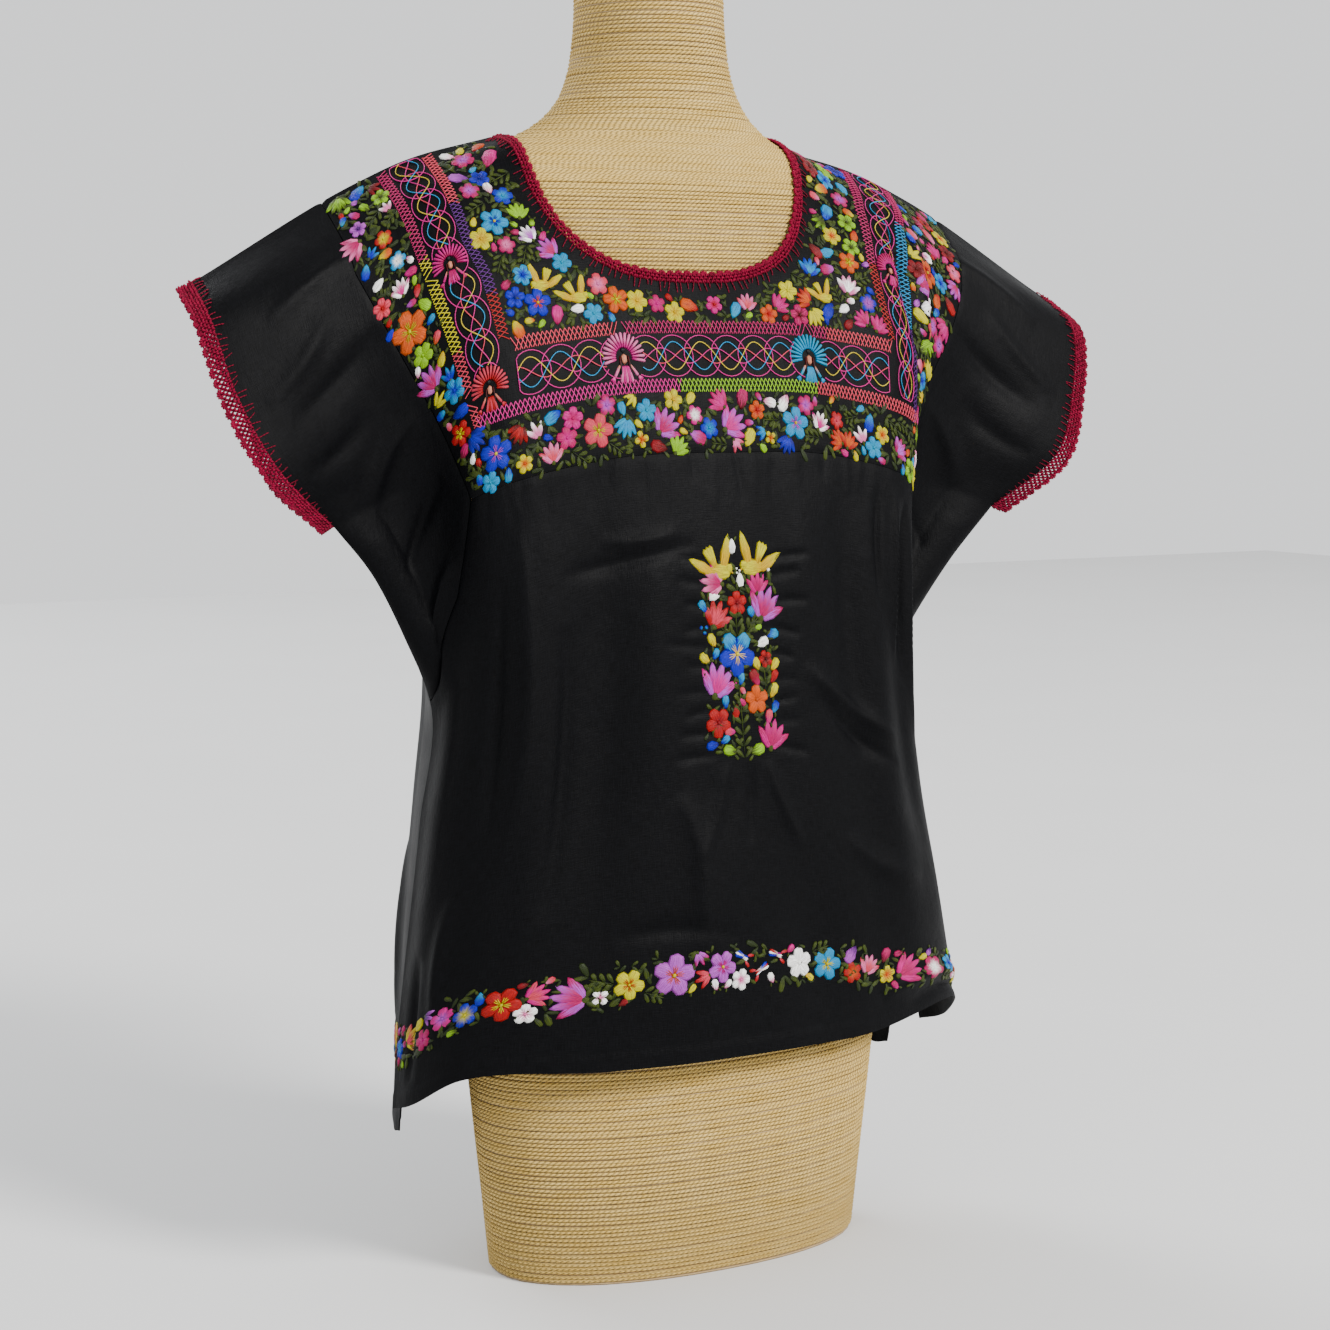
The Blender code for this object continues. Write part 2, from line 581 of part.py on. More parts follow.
def make_form(finish):
    """The limbless dress form, one closed body from its flat base to its flat neck cap."""
    table = np.array(FORM)
    heights = np.append(table[:-1, 0], (table[-1, 0] - NECK_CAP_BEVEL, table[-1, 0]))
    angles = np.arange(FORM_SIDES) * 2 * math.pi / FORM_SIDES
    rings = []
    for height in heights:
        half_width, front, back, power = through(table[:, 0], table[:, 1:], height)[0]
        inset = NECK_CAP_BEVEL if height == heights[-1] else 0
        cosine, sine = np.cos(angles), np.sin(angles)
        ring_x = (half_width - inset) * np.sign(cosine) * np.abs(cosine) ** (2 / power)
        ring_y = (front + back) / 2 + ((back - front) / 2 - inset) * np.sign(sine) * np.abs(sine) ** (2 / power)
        rings.append(np.stack([ring_x, ring_y, np.full(FORM_SIDES, height)], axis=1))
    faces = []
    for row in range(len(rings) - 1):
        for side in range(FORM_SIDES):
            here, there = row * FORM_SIDES + side, row * FORM_SIDES + (side + 1) % FORM_SIDES
            faces.append((here, there, there + FORM_SIDES, here + FORM_SIDES))
    faces.append(tuple(reversed(range(FORM_SIDES))))
    faces.append(tuple(range((len(rings) - 1) * FORM_SIDES, len(rings) * FORM_SIDES)))
    return add_object("dress_form", np.concatenate(rings), faces, finish)


def main():
    for old in list(bpy.data.objects):
        bpy.data.objects.remove(old)

    black = material("black_cloth", BLACK_CLOTH, 0.7)
    embroidered = material("embroidered_cloth", EMBROIDERY_GROUND, 0.6)
    red = material("red_crochet", CROCHET_RED, 0.7)
    straw = material("straw_cord", STRAW_CORD, 0.8)

    front = Cloth(FRONT, CUFF_FRONT, SLIT_FRONT, FRONT_FOLDS, outward=-1)
    back = Cloth(BACK, CUFF_BACK, SLIT_BACK, BACK_FOLDS, outward=1)
    share_seams(front, back)

    make_form(straw)
    make_yoke("front_yoke", front, NECK_FRONT, embroidered)
    make_yoke("back_yoke", back, NECK_BACK, embroidered)
    make_body("front_body", front, FRONT_LENGTH, black)
    make_body("back_body", back, BACK_LENGTH, black)
    make_neck_edging(front, back, red)
    for wearer_side, side in (("right", -1), ("left", 1)):
        make_sleeve(wearer_side + "_sleeve", front, back, side, black)
        make_cuff_edging(wearer_side + "_cuff_crochet", front, back, side, red)


main()
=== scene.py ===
"""Looks of an embroidered pull-on top on its cord-wound dress form, in metres, Z up.

A place on the front or the back cloth is given by two lengths on the flat cut: across, out from the
centre line (the wearer's left is positive), and down, from the shoulder ridge. The cloth pieces are
cut there. Flowers, dolls and threads are laid flat there too, by Geometry Nodes, and then hung.
"""

import math
import random
from collections import namedtuple

import bmesh
import bpy
import numpy as np
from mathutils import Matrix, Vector


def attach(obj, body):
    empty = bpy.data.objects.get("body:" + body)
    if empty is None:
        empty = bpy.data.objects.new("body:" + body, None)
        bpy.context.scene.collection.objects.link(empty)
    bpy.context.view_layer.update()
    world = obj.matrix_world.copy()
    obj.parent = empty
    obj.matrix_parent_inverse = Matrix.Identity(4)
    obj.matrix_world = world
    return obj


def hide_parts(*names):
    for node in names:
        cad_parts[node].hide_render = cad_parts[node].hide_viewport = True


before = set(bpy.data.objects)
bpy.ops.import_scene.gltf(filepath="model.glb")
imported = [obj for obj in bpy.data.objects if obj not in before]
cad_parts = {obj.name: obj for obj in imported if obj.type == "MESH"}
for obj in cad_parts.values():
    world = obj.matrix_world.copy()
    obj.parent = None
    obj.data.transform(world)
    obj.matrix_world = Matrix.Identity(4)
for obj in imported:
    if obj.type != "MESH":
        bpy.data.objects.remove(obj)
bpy.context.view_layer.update()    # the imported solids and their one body, root

MM = 0.001
SEED = 7

# Flat cut of the top
CUFF = 0.390
CUFF_DEPTH = 0.240
ARMPIT = 0.285
ARMPIT_DOWN = 0.400
HEM_HALF = 0.300
SLIT_DOWN = 0.620
FRONT_LENGTH = 0.716
BACK_LENGTH = 0.760
YOKE_DOWN = 0.273
NECK_HALF = 0.121
NECK_FRONT = 0.147
NECK_BACK = 0.060
NECK_ROUND = 2.8
NECK_ASIDE = -0.008

# How the hanging sections are shaped between the columns of their tables
MID = 0.110
CORNER = 0.205
VALLEY = 0.245
MID_Y_POWER = 2.5
MID_Z_POWER = 2.9
UNDERARM_ROLL = 0.0050
ROLL_SHARE = 0.16
ROLL_STARTS = CUFF_DEPTH - 0.02
ROLL_FULL = CUFF_DEPTH + 0.03
REST_GAP = 0.0032
ACROSS_PER_SIDE = 120
ACROSS_BEYOND = 8       # columns past the sleeve's end
DOWN_STEP = 0.004

# How the cloth is pushed clear of the form: rounds that spread each push over its neighbours, and small steps
PUSH_ROUNDS = 3
SPREAD_PASSES = 8
PUSH_STEPS = 14
PUSH_SHARE = 0.4        # of the missing gap, in each step
PROBE = 0.0005          # for the slope of the form's surface

CLOTH = 0.0013
SEAM_GAP = 0.0003
SEAM_SINK = 0.0007      # how far a seam draws the cloth in
SEAM_HALF = 0.0022      # and over which half width
HEM_TURNED = 0.012
HEM_STEP = 0.0012       # the turned hem rises over this length
HEM_RISE = 0.0005

# Points of the cloth pieces' grids
YOKE_SIDE_POINTS = 84
YOKE_FOOT_POINTS = 138
YOKE_RINGS = 40
FRONT_BODY_GRID = (218, 170)
BACK_BODY_GRID = (156, 134)
SLEEVE_GRID = (46, 100)
ARMHOLE_LEFT = 0.003    # share of the sleeve's width that its armhole seam takes
NECK_RIM_POINTS = 220
NECK_RIM_ENDS = 0.004   # radians from the ridge
CUFF_RIM_POINTS = 120
RIM_PROBE = 0.010       # how far from a cut edge its way out is read

Armhole = namedtuple("Armhole", "down across")
Row = namedtuple("Row", "down centre_y centre_z corner_x corner_y corner_z valley_x valley_y valley_z")
Edge = namedtuple("Edge", "down x y z")
Ring = namedtuple("Ring", "z half_width front_y back_y squareness")
Sway = namedtuple("Sway", "down inward raised")
Fold = namedtuple("Fold", "across_top across_foot down_top down_foot width lift")
Crease = namedtuple("Crease", "start bend end width lift")

# Centre line to the sleeve seam, which leans in beside the yoke and out again below it
ARMHOLE = [
    Armhole(0.000, 0.279),
    Armhole(0.080, 0.274),
    Armhole(0.140, 0.257),
    Armhole(0.200, 0.238),
    Armhole(YOKE_DOWN, 0.216),
    Armhole(0.335, 0.236),
    Armhole(ARMPIT_DOWN, ARMPIT),
]
FRONT = [
    Row(0.000, 0.062, 0.850, 0.200, 0.053, 0.824, 0.236, 0.049, 0.808),
    Row(0.060, 0.008, 0.811, 0.203, 0.004, 0.790, 0.237, 0.006, 0.770),
    Row(0.120, -0.026, 0.761, 0.201, -0.026, 0.740, 0.233, -0.016, 0.718),
    Row(0.176, -0.046, 0.710, 0.197, -0.042, 0.685, 0.223, -0.020, 0.664),
    Row(0.230, -0.062, 0.657, 0.193, -0.050, 0.630, 0.212, -0.020, 0.612),
    Row(0.273, -0.072, 0.614, 0.190, -0.055, 0.587, 0.205, -0.020, 0.571),
    Row(0.340, -0.084, 0.548, 0.186, -0.060, 0.518, 0.201, -0.022, 0.505),
    Row(0.400, -0.090, 0.489, 0.184, -0.062, 0.458, 0.201, -0.026, 0.447),
    Row(0.500, -0.098, 0.389, 0.190, -0.062, 0.362, 0.212, -0.026, 0.350),
    Row(0.600, -0.105, 0.290, 0.202, -0.060, 0.272, 0.222, -0.022, 0.255),
    Row(0.716, -0.111, 0.174, 0.214, -0.054, 0.168, 0.230, -0.018, 0.146),
]
BACK = [
    Row(0.000, 0.062, 0.850, 0.200, 0.053, 0.824, 0.236, 0.049, 0.808),
    Row(0.060, 0.105, 0.817, 0.200, 0.097, 0.783, 0.234, 0.079, 0.767),
    Row(0.120, 0.128, 0.764, 0.193, 0.110, 0.722, 0.223, 0.082, 0.708),
    Row(0.180, 0.137, 0.706, 0.185, 0.114, 0.664, 0.207, 0.080, 0.650),
    Row(0.240, 0.140, 0.647, 0.178, 0.112, 0.606, 0.196, 0.076, 0.595),
    Row(0.273, 0.140, 0.614, 0.175, 0.110, 0.574, 0.191, 0.074, 0.565),
    Row(0.340, 0.139, 0.547, 0.169, 0.105, 0.510, 0.184, 0.067, 0.502),
    Row(0.400, 0.136, 0.487, 0.166, 0.101, 0.452, 0.181, 0.061, 0.443),
    Row(0.500, 0.133, 0.388, 0.175, 0.098, 0.358, 0.193, 0.058, 0.348),
    Row(0.600, 0.130, 0.289, 0.186, 0.096, 0.266, 0.203, 0.058, 0.255),
    Row(0.760, 0.128, 0.132, 0.196, 0.094, 0.116, 0.209, 0.066, 0.106),
]
CUFF_FRONT = [
    Edge(0.000, 0.367, 0.037, 0.734),
    Edge(0.060, 0.368, -0.002, 0.707),
    Edge(0.120, 0.356, -0.019, 0.655),
    Edge(0.180, 0.331, -0.030, 0.605),
    Edge(0.240, 0.284, -0.010, 0.565),
]
CUFF_BACK = [
    Edge(0.000, 0.367, 0.037, 0.734),
    Edge(0.060, 0.341, 0.048, 0.692),
    Edge(0.120, 0.318, 0.043, 0.645),
    Edge(0.180, 0.306, 0.031, 0.598),
    Edge(0.240, 0.284, -0.010, 0.565),
]
UNDERARM_AND_SIDE = [
    Edge(0.240, 0.284, -0.010, 0.565),
    Edge(0.300, 0.251, -0.006, 0.526),
    Edge(0.350, 0.226, -0.002, 0.481),
    Edge(0.400, 0.206, 0.001, 0.436),
    Edge(0.500, 0.210, 0.012, 0.344),
    Edge(0.620, 0.221, 0.020, 0.230),
]
SLIT_FRONT = [
    Edge(0.620, 0.221, 0.020, 0.230),
    Edge(0.660, 0.226, 0.020, 0.190),
    Edge(0.716, 0.231, 0.018, 0.134),
]
SLIT_BACK = [
    Edge(0.620, 0.221, 0.020, 0.230),
    Edge(0.680, 0.219, 0.027, 0.172),
    Edge(0.760, 0.214, 0.046, 0.108),
]
FORM = [
    Ring(0.000, 0.152, -0.072, 0.084, 2.20),
    Ring(0.140, 0.167, -0.083, 0.094, 2.20),
    Ring(0.220, 0.175, -0.089, 0.101, 2.20),
    Ring(0.300, 0.165, -0.084, 0.096, 2.20),
    Ring(0.370, 0.143, -0.076, 0.082, 2.20),
    Ring(0.430, 0.127, -0.068, 0.072, 2.20),
    Ring(0.490, 0.132, -0.070, 0.084, 2.20),
    Ring(0.550, 0.147, -0.071, 0.108, 2.30),
    Ring(0.600, 0.157, -0.064, 0.125, 2.40),
    Ring(0.650, 0.160, -0.053, 0.130, 2.40),
    Ring(0.695, 0.166, -0.044, 0.131, 2.30),
    Ring(0.730, 0.177, -0.035, 0.127, 2.15),
    Ring(0.760, 0.188, -0.026, 0.121, 2.00),
    Ring(0.782, 0.193, -0.020, 0.116, 1.88),
    Ring(0.799, 0.190, -0.016, 0.113, 1.78),
    Ring(0.812, 0.180, -0.014, 0.111, 1.70),
    Ring(0.822, 0.165, -0.013, 0.109, 1.66),
    Ring(0.831, 0.146, -0.013, 0.107, 1.65),
    Ring(0.839, 0.125, -0.013, 0.106, 1.66),
    Ring(0.847, 0.106, -0.013, 0.105, 1.70),
    Ring(0.857, 0.089, -0.013, 0.104, 1.80),
    Ring(0.871, 0.074, -0.013, 0.103, 1.90),
    Ring(0.891, 0.063, -0.012, 0.102, 2.00),
    Ring(0.920, 0.057, -0.011, 0.101, 2.00),
    Ring(0.972, 0.055, -0.010, 0.100, 2.00),
]

# The wearer's left side hangs nearer to the centre line, and higher, than the right by this much
LEFT_SWAY = [
    Sway(0.000, 0.000, 0.002),
    Sway(0.100, 0.004, 0.000),
    Sway(0.200, 0.009, 0.000),
    Sway(0.273, 0.014, 0.000),
    Sway(0.400, 0.015, 0.000),
    Sway(0.500, 0.011, 0.002),
    Sway(0.600, 0.003, 0.006),
    Sway(0.716, -0.008, 0.012),
]
SWAY_STARTS = 0.080     # across, from the centre line

# Folds that stand out of the cloth, or sink into it where the lift is negative; across is signed
FRONT_FOLDS = [
    Fold(-0.160, -0.185, 0.290, 0.760, 0.026, 0.0050),
    Fold(-0.120, -0.135, 0.300, 0.700, 0.026, -0.0045),
    Fold(-0.070, -0.085, 0.290, 0.560, 0.020, 0.0025),
    Fold(0.060, 0.070, 0.290, 0.440, 0.016, 0.0022),
    Fold(0.105, 0.115, 0.285, 0.520, 0.016, -0.0030),
    Fold(0.140, 0.155, 0.285, 0.760, 0.020, 0.0045),
    Fold(0.172, 0.185, 0.290, 0.640, 0.014, -0.0035),
    Fold(-0.020, -0.060, 0.520, 0.780, 0.030, 0.0040),
    Fold(0.045, 0.080, 0.540, 0.780, 0.028, -0.0040),
]
BACK_FOLDS = [
    Fold(-0.150, -0.175, 0.290, 0.800, 0.026, 0.0055),
    Fold(-0.100, -0.110, 0.290, 0.740, 0.024, -0.0050),
    Fold(-0.045, -0.055, 0.290, 0.800, 0.024, 0.0045),
    Fold(0.010, 0.020, 0.290, 0.640, 0.020, -0.0035),
    Fold(0.060, 0.080, 0.290, 0.800, 0.024, 0.0050),
    Fold(0.115, 0.130, 0.290, 0.700, 0.022, -0.0045),
    Fold(0.155, 0.175, 0.290, 0.800, 0.024, 0.0050),
]

# Creases of the front, on the flat cut in millimetres: a start, a bend and an end, half width and lift
CREASE_DEPTH = 2.0
CREASES_END = 0.05      # they fade out over this share of the cut's width, at its edge
RIDGE_PLAIN = 0.03      # and over this length, at the ridge
FRONT_CREASES = [
    Crease((-150, 345), (-95, 352), (-35, 338), 7, -1.6),
    Crease((-120, 330), (-80, 338), (-50, 330), 6, 1.2),
    Crease((62, 432), (110, 470), (165, 478), 9, 2.0),
    Crease((70, 452), (112, 492), (160, 500), 8, -1.6),
    Crease((172, 285), (166, 350), (172, 420), 6, 2.6),
    Crease((184, 290), (180, 350), (188, 430), 6, -2.6),
    Crease((196, 300), (196, 380), (206, 470), 7, 2.2),
    Crease((150, 290), (144, 330), (150, 380), 5, -1.8),
    Crease((-180, 300), (-172, 420), (-190, 560), 9, 2.2),
    Crease((-150, 380), (-146, 470), (-158, 600), 10, -2.4),
    Crease((-196, 330), (-206, 430), (-204, 520), 7, -2.2),
    Crease((-60, 520), (-30, 560), (-44, 640), 12, 1.8),
    Crease((-16, 500), (-22, 530), (-40, 570), 5, 1.2),
    Crease((6, 500), (6, 526), (2, 560), 4, -1.1),
    Crease((20, 500), (30, 530), (52, 568), 6, 1.3),
    Crease((96, 560), (120, 590), (170, 600), 11, 1.8),
    Crease((-110, 620), (-60, 612), (-10, 626), 9, -1.2),
    Crease((120, 690), (160, 682), (215, 692), 9, 2.4),
    Crease((140, 706), (178, 700), (225, 706), 6, -1.8),
    Crease((-225, 560), (-236, 610), (-228, 680), 9, 2.4),
    Crease((-255, 600), (-262, 650), (-258, 700), 9, -2.2),
]
LEFT_YOKE_CREASES = [
    Crease((196, 60), (182, 120), (204, 176), 7, -3.4),
    Crease((214, 70), (206, 130), (226, 190), 7, 3.2),
    Crease((232, 120), (222, 170), (214, 240), 6, -2.6),
]
BACK_CREASES = [
    Crease((-140, 330), (-70, 350), (10, 336), 9, -1.6),
    Crease((30, 420), (90, 440), (150, 430), 9, 1.8),
    Crease((-170, 300), (-166, 400), (-182, 520), 8, 2.4),
    Crease((-130, 320), (-124, 430), (-134, 560), 9, -2.2),
    Crease((-20, 300), (-30, 420), (-16, 540), 9, 1.8),
    Crease((40, 330), (34, 430), (46, 560), 8, -1.8),
    Crease((110, 300), (104, 420), (120, 560), 9, 2.4),
    Crease((170, 300), (168, 390), (184, 500), 7, -2.2),
    Crease((-60, 560), (-30, 610), (-46, 700), 12, 1.8),
    Crease((80, 570), (104, 630), (96, 700), 12, -1.8),
    Crease((190, 560), (206, 620), (200, 700), 9, 2.2),
    Crease((-210, 540), (-222, 610), (-214, 690), 9, 2.2),
]
# Creases of a sleeve, with across out from the centre line; on the wearer's left they lie this much lower
LEFT_LOWER = 6
SLEEVE_CREASES = [
    Crease((262, 60), (300, 52), (350, 78), 11, 1.8),
    Crease((262, 120), (300, 140), (360, 150), 12, -2.2),
    Crease((250, 190), (290, 196), (330, 236), 9, 2.4),
    Crease((240, 240), (270, 262), (300, 300), 9, -2.4),
    Crease((236, 300), (256, 320), (272, 352), 8, 2.2),
    Crease((300, 90), (330, 120), (372, 128), 9, 1.4),
    Crease((290, 170), (330, 190), (372, 188), 9, -1.4),
    Crease((256, 350), (272, 370), (280, 392), 6, -1.6),
]

# Gathers under the yoke seam and puckers beside the centre flowers: pitch, longest, half width and lift
GATHERS = (17, 54, 5.0, 0.5)
GATHERED = 200          # on both sides of the centre line
PUCKERS = (15, 36, 2.6, 1.2)

# Thread colours, as they look in daylight
THREADS = {
    "magenta": "BE1A7C", "pink": "E880AC", "rose": "F0A8C4", "red": "B20A4A", "crimson": "8C0440",
    "coral": "F08890", "orange": "F88A1C", "yellow": "FFE200", "gold": "F4C400", "cream": "E6D690",
    "white": "EAEAE8", "blue": "0C58BC", "navy": "0A3084", "turquoise": "00A8D2", "sky": "50B4D4",
    "lilac": "C890D0", "violet": "64207A", "lime": "A4CC10", "olive": "48521E", "moss": "283210",
    "black": "08080A", "skin": "DDA898", "wine": "5C0420", "straw": "F2DAB2", "jute": "DCC090",
    "yarn": "A0125A", "yarn shade": "660834",
}
VIVID = 1.8             # the studio view dulls strong colours, so they are dyed this much stronger
FADE = 0.60             # and this much deeper the stronger they are
PAIRS = (
    ("magenta", "pink"), ("pink", "magenta"), ("red", "wine"), ("coral", "rose"), ("orange", "yellow"),
    ("yellow", "gold"), ("white", "rose"), ("blue", "navy"), ("turquoise", "blue"), ("lilac", "violet"),
    ("magenta", "wine"), ("orange", "red"), ("magenta", "lilac"), ("blue", "turquoise"), ("turquoise", "sky"),
    ("lime", "olive"), ("yellow", "yellow"), ("crimson", "wine"), ("lime", "lime"), ("magenta", "lilac"),
)
Motif = namedtuple("Motif", "kind across down size turn tip heart")


def motifs(rows):
    """Motifs from rows of words: kind, across, down, size, turn, and the threads of its tips and its heart."""
    made = []
    for row in rows.strip().splitlines():
        kind, *numbers, tip, heart = row.split()
        made.append(Motif(kind, *(float(number) for number in numbers), tip, heart))
    return made


# The flowers that show most, in millimetres and degrees; a turn of 90 points to the ridge
FRONT_YOKE_MOTIFS = motifs("""
    bud -250 30 12 120 lime olive
    blossom -262 46 14 10 lilac violet
    bud -271 32 10 60 blue sky
    blossom -246 66 15 30 red yellow
    tulip -272 60 20 200 magenta rose
    bud -266 82 13 250 blue sky
    bud -258 96 12 210 white white
    blossom -240 88 14 0 turquoise white
    tulip -243 108 15 100 pink white
    bud -231 118 10 70 red coral
    blossom -260 114 15 15 coral red
    pansy -243 140 29 100 orange yellow
    bud -258 134 10 220 blue blue
    bud -224 156 10 60 coral orange
    bud -226 142 9 30 turquoise blue
    tulip -235 180 21 120 magenta lilac
    blossom -217 196 17 40 turquoise blue
    bud -230 206 10 200 blue sky
    pansy -217 226 17 60 red yellow
    bud -209 246 9 250 white white
    bud -206 262 10 280 blue turquoise
    pansy -160 90 22 60 turquoise blue
    blossom -156 110 14 0 magenta rose
    tulip -137 103 15 120 lilac white
    bird -133 136 22 160 yellow gold
    bird -112 148 22 20 yellow gold
    pansy -142 156 21 80 blue orange
    bud -112 164 12 0 white white
    bud -150 168 9 180 yellow orange
    pansy -78 160 21 100 orange yellow
    blossom -44 164 14 20 magenta pink
    blossom 6 164 14 50 pink red
    tulip 36 162 15 80 coral rose
    tulip 66 162 16 40 pink magenta
    bird 106 146 20 10 yellow gold
    pansy 138 120 18 60 orange yellow
    blossom 128 98 16 60 yellow orange
    blossom 150 152 15 10 blue lilac
    bud 126 160 12 30 white white
    blossom 148 60 15 10 magenta lilac
    blossom 262 40 16 30 yellow orange
    pansy 226 98 23 70 orange red
    tulip 244 66 16 120 pink magenta
    blossom 222 150 16 30 coral yellow
    blossom 224 186 16 60 turquoise blue
    tulip 216 218 17 100 magenta pink
    pansy -190 250 25 90 blue lilac
    blossom -169 263 13 30 yellow orange
    tulip -158 243 14 110 white rose
    blossom -135 253 16 20 magenta pink
    pansy -110 252 24 70 coral yellow
    bud -88 240 12 100 turquoise sky
    blossom -75 262 12 10 yellow orange
    tulip -52 252 23 40 magenta lilac
    blossom -26 246 14 40 pink white
    tulip 8 252 23 30 pink lilac
    blossom 31 243 14 20 orange red
    blossom 41 263 10 30 yellow orange
    pansy 66 252 24 80 turquoise lilac
    tulip 91 250 16 60 pink white
    blossom 109 247 14 50 red coral
    tulip 134 254 14 110 white rose
    blossom 155 250 14 50 yellow orange
    tulip 176 256 17 40 lilac magenta
""")
CENTRE_MOTIFS = motifs("""
    bird -21 349 31 20 yellow gold
    bird 19 347 31 160 yellow gold
    bud -4 341 12 265 white white
    bud 2 366 12 272 white white
    berries 0 360 4 0 white white
    berries 28 358 6 60 white white
    frond 30 366 12 95 olive moss
    frond -34 357 9 100 olive moss
    frond -6 373 13 150 olive moss
    frond 10 374 9 30 olive moss
    tulip -24 368 22 170 magenta rose
    tulip 18 370 18 85 magenta pink
    bud -22 378 12 185 white white
    blossom -2 384 18 20 red crimson
    tulip 25 386 28 65 magenta lilac
    bud -33 386 11 120 turquoise blue
    frond -33 378 9 120 olive moss
    tulip -21 392 23 65 coral red
    bud 12 392 11 120 turquoise blue
    berries -33 402 6 30 blue sky
    fern -3 409 21 92 olive moss
    fern 2 409 23 42 olive moss
    fern -8 409 21 142 olive moss
    bud -26 411 12 120 yellow gold
    bud 30 408 13 10 turquoise blue
    bud 20 414 13 20 white white
    viola -4 421 33 270 blue straw
    bud -33 424 12 140 yellow gold
    bud -24 421 10 60 turquoise blue
    blossom 23 426 13 40 red wine
    bud 15 430 12 120 yellow gold
    bud 31 431 12 50 yellow gold
    bud 13 440 15 120 crimson magenta
    bud 30 440 12 60 red crimson
    fern 22 452 24 92 olive moss
    tulip -22 440 28 70 pink lilac
    bud -1 440 11 80 turquoise blue
    bud 29 450 13 60 yellow gold
    blossom 13 455 21 20 orange orange
    bud -16 456 11 90 turquoise blue
    bud 30 462 11 60 blue turquoise
    bud 24 469 12 80 coral pink
    blossom -23 470 22 50 red crimson
    bud -12 477 11 175 coral pink
    bud -28 486 12 190 blue navy
    bud -18 483 10 30 turquoise blue
    tulip 27 482 24 75 magenta pink
    bud -12 491 14 165 lime olive
    bud 11 492 15 15 lime olive
    fern 0 497 58 93 olive moss
""")
# Along the front hem only the place across is given; each sits on the band's middle line, give or take
HEM_MOTIFS = motifs("""
    blossom -284 2 16 10 blue turquoise
    tulip -262 -3 19 30 coral yellow
    blossom -240 4 17 40 magenta pink
    blossom -222 -3 17 20 pink lilac
    blossom -204 2 19 30 blue yellow
    pansy -179 0 26 60 red yellow
    tulip -157 -4 17 20 coral pink
    tulip -137 2 26 170 magenta lilac
    blossom -117 5 12 40 white rose
    pansy -97 0 22 60 yellow orange
    pansy -64 0 30 80 lilac orange
    tulip -42 5 14 200 red coral
    pansy -26 -1 23 60 lilac pink
    fern -128 5 20 15 olive moss
    fern -108 -3 18 165 olive moss
    fern -86 8 16 340 olive moss
    fern 56 -8 16 10 olive moss
    fern 80 8 16 20 olive moss
    fern 176 9 16 350 olive moss
    fern 224 -9 16 170 olive moss
    fish -8 -6 18 150 white blue
    fish 8 5 18 30 red white
    fish 22 -6 18 160 white red
    blossom 43 1 22 20 white white
    pansy 69 0 24 70 turquoise yellow
    blossom 92 4 16 30 red orange
    tulip 108 -3 17 60 coral rose
    blossom 124 4 14 10 yellow orange
    tulip 143 0 23 20 magenta pink
    blossom 166 1 20 40 magenta white
    blossom 188 -2 17 60 turquoise blue
    pansy 212 0 22 40 orange yellow
    tulip 238 2 19 10 pink white
    blossom 262 0 18 50 lilac violet
    blossom 284 -2 16 30 yellow orange
""")
HEM_BAND_HALF = 0.0165
FRONT_HEM_BAND = [(-0.30, 0.672), (-0.22, 0.660), (-0.14, 0.658), (-0.06, 0.650), (0.0, 0.648),
                  (0.05, 0.653), (0.10, 0.664), (0.142, 0.675), (0.18, 0.684), (0.23, 0.690), (0.30, 0.690)]
BACK_HEM_BAND = [(-0.30, 0.696), (0.0, 0.702), (0.30, 0.698)]
CENTRE_PANEL = (-0.035, 0.035, 0.338, 0.497)

# The openwork U: its inner and outer edges beside the neck, and its upper and lower edges below it
OPEN_TOP = 0.176
OPEN_FOOT = 0.230
RIGHT_INNER = [(0.0, 0.180), (0.10, 0.180), (0.13, 0.172), (OPEN_TOP, 0.168)]
RIGHT_OUTER = [(0.0, 0.232), (0.09, 0.2265), (0.13, 0.222), (0.17, 0.2155), (0.20, 0.211), (OPEN_FOOT, 0.205)]
LEFT_INNER = [(0.0, 0.180), (0.065, 0.159), (0.12, 0.155), (0.145, 0.158), (OPEN_TOP, 0.166)]
LEFT_OUTER = [(0.0, 0.232), (0.03, 0.223), (0.07, 0.207), (0.115, 0.199), (0.15, 0.200), (0.20, 0.203),
              (OPEN_FOOT, 0.203)]
BACK_INNER = [(0.0, 0.180), (0.10, 0.176), (OPEN_TOP, 0.168)]
BACK_OUTER = [(0.0, 0.232), (0.10, 0.224), (0.17, 0.2155), (OPEN_FOOT, 0.203)]
BORDER = 0.0104        # a herringbone border of the openwork
HERRINGBONE = 0.0036
WAVE = 0.048           # length of a couched wave
THREAD_RADIUS = 0.00040
THREAD_SIDES = 5
WAVES = ((0.0, 0.66, "cream"), (0.5, 0.66, "turquoise"), (0.25, 0.36, "coral"), (0.75, 0.36, "pink"))
WAVE_STEP = 0.0016
RINGS = ((0.0158, 0.97, "pink"),)       # half length, reach, thread
RING_POINTS = 25
EYE_FREE = 0.006        # an eye nearer to the run's end than this has no ring
OPEN_STARTS = 0.003     # the side runs' distance from the ridge
RAIL_FREE = 0.015       # share of the run's width outside a border's outer rail
WAVES_FREE = 0.02       # and between a border and the waves
